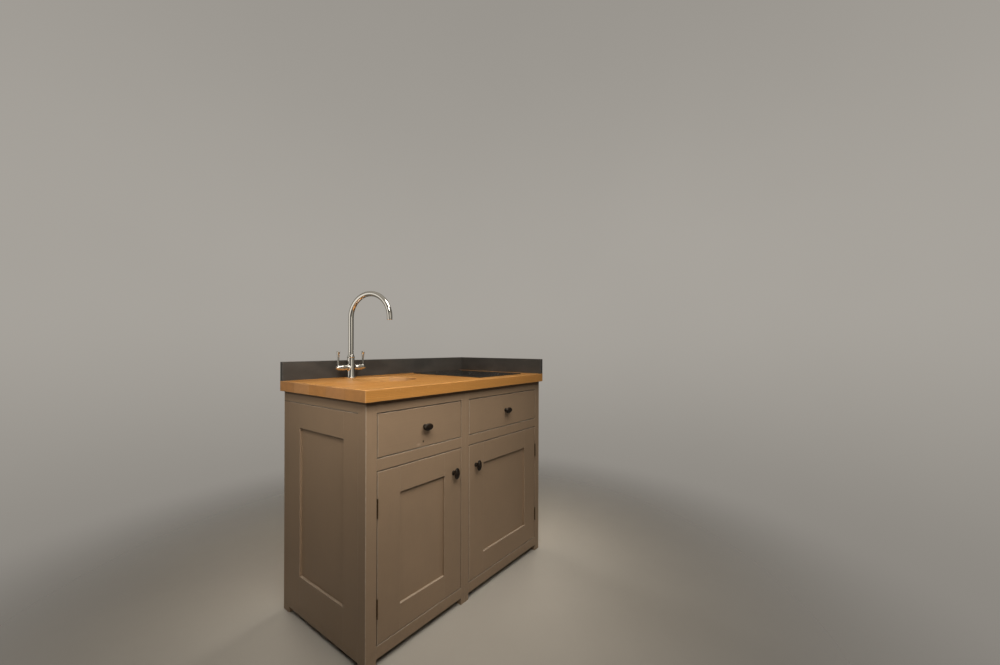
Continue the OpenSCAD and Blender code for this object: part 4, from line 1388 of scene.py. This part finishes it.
def tap_body():
    body_line = spline(BODY_LINE, 3)
    body_prof = [(0.0, body_line[0][1])] + body_line + [(0.0, body_line[-1][1])]
    half = spline(ARM_LINE, 4)
    arm_prof = [(0.0, -half[-1][1])] + [(r, -x) for r, x in reversed(half)] + half[1:] + [(0.0, half[-1][1])]
    s = Shape()
    s.lathe(body_prof, (TX, TY, 0), "z", 96)
    s.lathe(arm_prof, (TX, TY, ARM), "x", 96)

    def field(v):
        x, y, z = v[:, 0] - TX, v[:, 1] - TY, v[:, 2]
        a = profile_distance(body_prof, np.hypot(x, y), z)
        b = profile_distance(arm_prof, np.hypot(y, z - ARM), x)
        return smooth_union(a, b, 7.0)

    ob = blended("tap_body_chrome", s, field, 1.0)
    cut(ob, D(TX, TY, 913.6), (0, 0, -1))
    cut(ob, D(TX, TY, 996.6), (0, 0, 1))
    cut(ob, D(TX - 51.5, TY, ARM), (-1, 0, 0))
    cut(ob, D(TX + 51.5, TY, ARM), (1, 0, 0))
    s = Shape()
    # base flange, its gasket, the collar under the spout, and the arms' end rings
    s.lathe([(0, 910.5), (19.6, 910.5), (20.0, 910.9), (20.0, 912.3), (19.8, 912.9), (19.2, 913.5), (18.7, 914.0), (17.0, 914.2), (0, 914.2)], (TX, TY, 0), "z", 96)
    s.lathe([(9.05, 996.4), (14.2, 996.4), (14.9, 996.9), (15.3, 997.6), (15.3, 1002.6), (15.0, 1003.4), (14.3, 1003.9), (9.4, 1003.9), (9.05, 1003.5)], (TX, TY, 0), "z", 96, closed=True)
    for sg in (-1, 1):
        s.lathe([(0, 0.0), (10.6, 0.0), (11.28, 0.35), (11.28, 1.15), (10.8, 1.6), (0, 1.6)] if sg > 0 else [(0, 0.0), (10.6, 0.0), (11.28, -0.35), (11.28, -1.15), (10.8, -1.6), (0, -1.6)], (TX + sg * 50.4, TY, ARM), "x", 64)
        s.lathe([(0, 0), (4.0, 0), (4.0, sg * 11.5), (3.6, sg * 11.9), (0, sg * 11.9)], (TX + sg * 52.0, TY, ARM), "x", 32)
    # shank below the worktop, threaded, with two ports
    prof = [(0, 845.6), (13.2, 845.6), (13.9, 846.4)]
    z = 847.0
    while z < 880:
        prof += [(13.95, z), (13.95, z + 0.3), (13.25, z + 0.75), (13.25, z + 1.05)]
        z += 1.5
    prof += [(13.9, 881.0), (13.9, 909.0), (0, 909.0)]
    s.lathe(prof, (TX, TY, 0), "z", 48, mat=1)
    for px in (-6.3, 6.3):
        s.lathe([(0, 845.45), (4.5, 845.45), (4.5, 845.7), (0, 845.7)], (TX + px, TY, 0), "z", 32, mat=2)
    hexa = [(TX + 23.6 * math.cos(math.radians(a)), TY + 23.6 * math.sin(math.radians(a))) for a in range(0, 360, 60)]
    s.prism(hexa, "z", 862.0, 867.6, 1, 0.8)
    s.lathe([(13.9, 867.8), (23.4, 867.8), (23.9, 868.2), (23.9, 869.8), (13.9, 869.8)], (TX, TY, 0), "z", 64, mat=2, closed=True)
    s.lathe([(13.9, 910.0), (20.0, 910.0), (20.0, 910.5), (13.9, 910.5)], (TX, TY, 0), "z", 64, mat=2, closed=True)
    more = s.object("tap_more", 38)
    absorb(ob, more)
    ob.data.set_sharp_from_angle(angle=math.radians(38))
    dress(ob, "cabinet", [CHROME, BRASS, RUBBER], "tap_body")


def tap_lever(name, node, body, sg):
    hub_line = spline(HUB_LINE, 2)
    hub_prof = [(0.0, 0.0)] + hub_line + [(0.0, 19.5)]
    if sg < 0:
        hub_prof = [(r, -h) for r, h in reversed(hub_prof)]
    lx = TX + sg * 60.0
    rod_line = spline([(3.4, ARM), (3.4, ARM + 14), (3.6, ARM + 24), (3.95, ARM + 34), (4.6, ARM + 45), (5.5, ARM + 56), (6.35, ARM + 64), (6.8, ARM + 68.4)], 3)
    rod_prof = [(0.0, ARM)] + rod_line + [(6.6, ARM + 70.0), (6.0, ARM + 70.7), (5.0, ARM + 70.95), (0.0, ARM + 71.0)]
    s = Shape()
    s.lathe(hub_prof, (TX + sg * 52.5, TY, ARM), "x", 64)
    s.lathe(rod_prof, (lx, TY, 0), "z", 64)

    def field(v):
        a = profile_distance(hub_prof, np.hypot(v[:, 1] - TY, v[:, 2] - ARM), v[:, 0] - TX - sg * 52.5)
        b = profile_distance(rod_prof, np.hypot(v[:, 0] - lx, v[:, 1] - TY), v[:, 2])
        return smooth_union(a, b, 2.4)

    ob = blended(name, s, field, 0.6)
    cut(ob, D(TX + sg * 52.9, TY, ARM), (-sg, 0, 0))
    cut(ob, D(lx, TY, ARM + 67.5), (0, 0, 1))
    s = Shape()
    s.lathe([(0, 0.0), (10.4, 0.0), (11.12, sg * 0.35), (11.12, sg * 0.8), (10.2, sg * 1.0), (0, sg * 1.0)], (TX + sg * 52.35, TY, ARM), "x", 64)
    s.lathe([(0, ARM + 67.0), (6.5, ARM + 67.0), (6.72, ARM + 67.6), (6.78, ARM + 68.6), (6.6, ARM + 69.7), (6.05, ARM + 70.5), (5.2, ARM + 70.9), (0, ARM + 71.0)], (lx, TY, 0), "z", 48)
    more = s.object("lever_more", 38)
    absorb(ob, more)
    ob.data.set_sharp_from_angle(angle=math.radians(38))
    dress(ob, body, CHROME, node)


def tap_spout():
    """The swan neck: a round tube with an open mouth and its aerator, turned 16 degrees."""
    rot = math.radians(16.0)

    def world(y, z, u, w, tangent):
        """A point at offset u sideways and w in the bend's plane, off the centreline at (y, z)."""
        ty, tz = tangent
        ny, nz = -tz, ty
        ly, lz = y + ny * w, z + nz * w
        return (TX + u * math.cos(rot) - ly * math.sin(rot), TY + u * math.sin(rot) + ly * math.cos(rot), lz)

    R = 102.0
    line = [(0.0, z, (0.0, 1.0)) for z in (1009.0, 1012.0, 1040.0, 1080.0, 1120.0, 1150.0, 1165.0)]
    for k in range(0, 61):
        a = math.pi * k / 60
        line.append((-R + R * math.cos(a), 1172.0 + R * math.sin(a), (-math.sin(a), math.cos(a))))
    line += [(-2 * R, 1169.0, (0.0, -1.0)), (-2 * R, 1166.2, (0.0, -1.0))]
    segs = 56
    ends = [(-2 * R, 1165.9, 10.6), (-2 * R, 1165.4, 10.6), (-2 * R, 1165.1, 11.0), (-2 * R, 1161.2, 11.0), (-2 * R, 1160.5, 10.8), (-2 * R, 1160.05, 10.2), (-2 * R, 1160.0, 9.7), (-2 * R, 1160.4, 9.45), (-2 * R, 1166.0, 9.3), (-2 * R, 1168.0, 9.3)]
    rings = [[world(y, z, 11.0 * math.cos(t), 11.0 * math.sin(t), tan) for t in (2 * math.pi * i / segs for i in range(segs))] for y, z, tan in line]
    rings += [[world(y, z, r * math.cos(t), r * math.sin(t), (0.0, -1.0)) for t in (2 * math.pi * i / segs for i in range(segs))] for y, z, r in ends]
    verts = [p for ring in rings for p in ring]
    faces = []
    for k in range(len(rings) - 1):
        for i in range(segs):
            j = (i + 1) % segs
            faces.append((k * segs + i, k * segs + j, (k + 1) * segs + j, (k + 1) * segs + i))
    faces.append(tuple(range(segs))[::-1])
    last = (len(rings) - 1) * segs
    faces.append(tuple(last + i for i in range(segs)))
    s = Shape()
    s.add(verts, faces)
    c = world(-2 * R, 0.0, 0, 0, (0.0, -1.0))
    # the aerator's rings and bars, just inside the mouth
    for r in (2.2, 4.6, 7.0):
        s.lathe([(r - 0.35, 1163.2), (r + 0.35, 1163.2), (r + 0.35, 1165.0), (r - 0.35, 1165.0)], (c[0], c[1], 0), "z", 40, mat=1, closed=True)
    for a in range(0, 180, 45):
        q, w = math.cos(math.radians(a)), math.sin(math.radians(a))
        pts = [(c[0] + q * u - w * v, c[1] + w * u + q * v) for u, v in ((-9.4, -0.3), (9.4, -0.3), (9.4, 0.3), (-9.4, 0.3))]
        s.prism(pts, "z", 1163.4, 1164.8, 1)
    # swivel collar and shank
    s.lathe([(9.0, 1004.5), (12.3, 1004.5), (12.9, 1005.0), (13.0, 1005.5), (13.0, 1009.3), (12.7, 1010.0), (12.0, 1010.5), (10.6, 1010.5), (9.0, 1010.4)], (TX, TY, 0), "z", 72, closed=True)
    s.lathe([(0, 984.0), (8.6, 984.0), (9.0, 984.5), (9.0, 1006.0), (0, 1006.0)], (TX, TY, 0), "z", 48)
    ob = s.object("tap_spout_chrome", 42)
    dress(ob, "spout", [CHROME, RUBBER], "tap_spout")


tap_body()
tap_lever("tap_lever_left_chrome", "tap_lever_left", "lever_left", -1)
tap_lever("tap_lever_right_chrome", "tap_lever_right", "lever_right", 1)
tap_spout()


# ------------------------------------------------------------------ small fittings

def pegs():
    """Shelf pegs: a round head on the cabinet side and a flat tongue under the shelf."""
    s = Shape()
    for x0, x1, wall in ((485.5, 497.5, 1), (1007.0, 1019.0, -1)):
        base = x0 if wall > 0 else x1
        for y in (115.0, 465.0):
            s.box((min(base, base + wall * 12), y - 3.2, 348.4), (max(base, base + wall * 12), y + 3.2, 349.9), 0, 0.2)
            s.box((min(base, base + wall * 1.6), y - 4.8, 345.1), (max(base, base + wall * 1.6), y + 4.8, 349.9), 0, 0.25)
            s.prism([(y - 0.7, 346.0), (y + 0.7, 346.0), (y + 0.7, 348.6), (y - 0.7, 348.6)], "x", *sorted((base + wall * 1.4, base + wall * 9.0)), 0, 0.15)
    ob = s.object("shelf_pegs_steel", 40)
    dress(ob, "cabinet", ZINC, "shelf_pegs")


pegs()


def back_screws():
    """Countersunk screws that hold the backs, sunk flush in their rear faces."""
    s = Shape()
    for x0, x1, z0, z1 in ((42, 449.5, 51, 870), (485.5, 1019, 51, 870)):
        w, h = x1 - x0, z1 - z0
        spots = [(x0 + 24 + (w - 48) * k / 3, z) for k in range(4) for z in (z0 + 9, z1 - 40)]
        for x, z in spots:
            screw_head(s, (x, 538.06, z), "y", 1, 3.4, 0, 0.5 + x * 0.01)
    ob = s.object("back_screws_zinc", 40)
    dress(ob, "cabinet", ZINC)


back_screws()


# ------------------------------------------------------------------ studio

def floor_and_light():
    g = Graph("pale_floor")
    at = g.place()
    n = g.noise(at, 2.2, 5, 0.6)
    f = g.noise(at, 160.0, 3, 0.6)
    colour = g.mix(g.fit(n, 0.3, 0.7), (0.390, 0.368, 0.338), (0.415, 0.392, 0.360))
    g.set(Base_Color=colour, Roughness=g.fit(f, 0.3, 0.7, 0.62, 0.74), Specular_IOR_Level=0.25, Normal=g.bump(f, 0.0002, 0.3))
    # the floor runs out softly into the backdrop
    p = g.split(at)
    far = g.fit(g.length(g.join(p[0], p[1], 0.0)), 0.75, 2.30, 0.0, 1.0, True)
    clear = g.nt.nodes.new("ShaderNodeBsdfTransparent")
    fade = g.nt.nodes.new("ShaderNodeMixShader")
    g.nt.links.new(far, fade.inputs[0])
    g.nt.links.new(g.bsdf.outputs[0], fade.inputs[1])
    g.nt.links.new(clear.outputs[0], fade.inputs[2])
    g.nt.links.new(fade.outputs[0], g.out.inputs[0])
    bm = bmesh.new()
    bmesh.ops.create_circle(bm, cap_ends=True, segments=96, radius=5.0)
    for v in bm.verts:
        v.co.z = -0.0004
    me = bpy.data.meshes.new("floor")
    bm.to_mesh(me)
    bm.free()
    floor = link(me, "floor")
    floor.data.materials.append(g.mat)

    # the backdrop: a shell all round that only the camera sees
    g = Graph("pale_backdrop")
    at = g.place()
    rise = g.math("DIVIDE", g.sub(g.split(at)[2], 1.0), g.length(at))
    tone = g.mix(g.fit(rise, -0.45, 0.10, 0.0, 1.0, True), (0.255, 0.238, 0.213), (0.385, 0.362, 0.328))
    tone = g.mix(g.fit(rise, 0.20, 0.90, 0.0, 1.0, True), tone, (0.300, 0.282, 0.255))
    glow = g.nt.nodes.new("ShaderNodeEmission")
    g.put(glow.inputs["Color"], g.tone(tone, g.fit(g.noise(at, 0.12, 3, 0.5), 0.3, 0.7, 0.985, 1.015)))
    g.nt.nodes.remove(g.bsdf)
    g.nt.links.new(glow.outputs[0], g.out.inputs[0])
    bm = bmesh.new()
    bmesh.ops.create_uvsphere(bm, u_segments=64, v_segments=32, radius=20.0)
    bmesh.ops.reverse_faces(bm, faces=bm.faces)
    me = bpy.data.meshes.new("backdrop")
    bm.to_mesh(me)
    bm.free()
    me.polygons.foreach_set("use_smooth", [True] * len(me.polygons))
    shell = link(me, "backdrop")
    shell.data.materials.append(g.mat)
    shell.visible_diffuse = shell.visible_glossy = shell.visible_transmission = shell.visible_volume_scatter = shell.visible_shadow = False

    warm = (1.0, 0.93, 0.82)

    def area(name, at, aim, size, power, colour=warm, shape="RECTANGLE", size_y=None, spread=180.0):
        data = bpy.data.lights.new(name, "AREA")
        data.shape = shape
        data.size = size
        if shape in ("RECTANGLE", "ELLIPSE"):
            data.size_y = size_y or size
        data.energy = power
        data.color = colour
        data.spread = math.radians(spread)
        ob = bpy.data.objects.new(name, data)
        bpy.context.scene.collection.objects.link(ob)
        ob.location = at
        ob.rotation_euler = (Vector(aim) - Vector(at)).to_track_quat("-Z", "Y").to_euler()
        return ob

    # the keys don't show in the mirrors: what the bright metal mirrors there is a dark corner
    for ob in (area("key_light", (-0.75, -1.45, 1.95), (-0.30, -0.20, 0.88), 0.70, 4.5, size_y=0.80, spread=100.0),
               area("second_key_light", (-0.35, -1.50, 1.95), (-0.10, -0.20, 0.85), 0.60, 1.75, spread=90.0),
               area("high_left_light", (-1.30, -1.10, 2.25), (-0.45, -0.10, 0.95), 0.50, 2.2, spread=54.0),
               area("side_light", (-1.42, -0.25, 1.50), (-0.50, 0.03, 1.00), 0.60, 1.08, size_y=0.45, spread=72.0)):
        ob.visible_glossy = False
    area("overhead_light", (0.05, -0.80, 2.34), (0.05, -0.80, 0.0), 1.05, 14.6, size_y=0.80)
    # two dim fills for the back and the right side
    for ob in (area("back_fill", (0.30, 2.20, 1.30), (0.05, 0.29, 0.50), 1.30, 5.0, spread=60.0),
               area("right_fill", (2.30, 0.55, 1.20), (0.53, 0.05, 0.50), 1.10, 4.0, spread=55.0)):
        ob.visible_glossy = False

    world = bpy.data.worlds.new("studio")
    bpy.context.scene.world = world
    world.use_nodes = True
    nt = world.node_tree
    nt.nodes.clear()
    out = nt.nodes.new("ShaderNodeOutputWorld")
    bg = nt.nodes.new("ShaderNodeBackground")
    nt.links.new(bg.outputs[0], out.inputs[0])
    tc = nt.nodes.new("ShaderNodeTexCoord")

    def node(kind, **inputs):
        n = nt.nodes.new(kind)
        for k, v in inputs.items():
            k = k.replace("_", " ")
            if isinstance(v, bpy.types.NodeSocket):
                nt.links.new(v, n.inputs[k])
            else:
                n.inputs[k].default_value = v
        return n

    # what the bright metal mirrors: a room with a lit side, a pale side, two dark corners and a pale ceiling
    def toward(x, y, a, b):
        dot = nt.nodes.new("ShaderNodeVectorMath")
        dot.operation = "DOT_PRODUCT"
        nt.links.new(tc.outputs["Generated"], dot.inputs[0])
        dot.inputs[1].default_value = (x, y, 0.0)
        n = node("ShaderNodeMapRange", Value=dot.outputs["Value"], From_Min=a, From_Max=b)
        n.interpolation_type = "SMOOTHSTEP"
        return n.outputs[0]

    def between(f, a, b):
        n = nt.nodes.new("ShaderNodeMix")
        n.data_type = "RGBA"
        for k, v in ((0, f), (6, a), (7, b)):
            if isinstance(v, bpy.types.NodeSocket):
                nt.links.new(v, n.inputs[k])
            else:
                n.inputs[k].default_value = v
        return n.outputs[2]

    height = nt.nodes.new("ShaderNodeSeparateXYZ")
    nt.links.new(tc.outputs["Generated"], height.inputs[0])

    def level(a, b):
        n = node("ShaderNodeMapRange", Value=height.outputs[2], From_Min=a, From_Max=b)
        n.interpolation_type = "SMOOTHSTEP"
        return n.outputs[0]

    def around(degrees, a, b):
        t = math.radians(degrees)
        return toward(math.cos(t), math.sin(t), math.cos(math.radians(a)), math.cos(math.radians(b)))

    def lobe(degrees, up, a, b):
        t, e = math.radians(degrees), math.radians(up)
        dot = nt.nodes.new("ShaderNodeVectorMath")
        dot.operation = "DOT_PRODUCT"
        nt.links.new(tc.outputs["Generated"], dot.inputs[0])
        dot.inputs[1].default_value = (math.cos(e) * math.cos(t), math.cos(e) * math.sin(t), math.sin(e))
        n = node("ShaderNodeMapRange", Value=dot.outputs["Value"], From_Min=math.cos(math.radians(a)), From_Max=math.cos(math.radians(b)))
        n.interpolation_type = "SMOOTHSTEP"
        return n.outputs[0]

    sky = between(toward(0.80, 0.60, 0.10, 0.70), (0.190, 0.172, 0.142, 1.0), (0.105, 0.092, 0.072, 1.0))
    sky = between(around(268.0, 30.0, 18.0), sky, (0.300, 0.272, 0.222, 1.0))
    sky = between(around(20.0, 42.0, 22.0), sky, (0.030, 0.027, 0.023, 1.0))
    sky = between(around(218.0, 36.0, 24.0), sky, (0.045, 0.040, 0.033, 1.0))
    sky = between(lobe(249.0, 9.0, 13.0, 7.0), sky, (1.050, 0.970, 0.830, 1.0))
    sky = between(lobe(178.0, -14.0, 26.0, 12.0), sky, (0.860, 0.800, 0.700, 1.0))
    sky = between(lobe(156.0, 6.0, 24.0, 11.0), sky, (0.860, 0.800, 0.700, 1.0))
    sky = between(level(0.48, 0.78), sky, (0.330, 0.300, 0.250, 1.0))
    sky = between(lobe(246.0, 30.0, 7.0, 5.0), sky, (20.00, 18.30, 15.60, 1.0))
    nt.links.new(sky, bg.inputs[0])
    bg.inputs[1].default_value = 1.0
    world.cycles_visibility.diffuse = False
    world.cycles_visibility.camera = False
    vs = bpy.context.scene.view_settings
    vs.view_transform = "Standard"
    vs.look = "None"
    vs.exposure = 0.0
    vs.gamma = 1.0


floor_and_light()
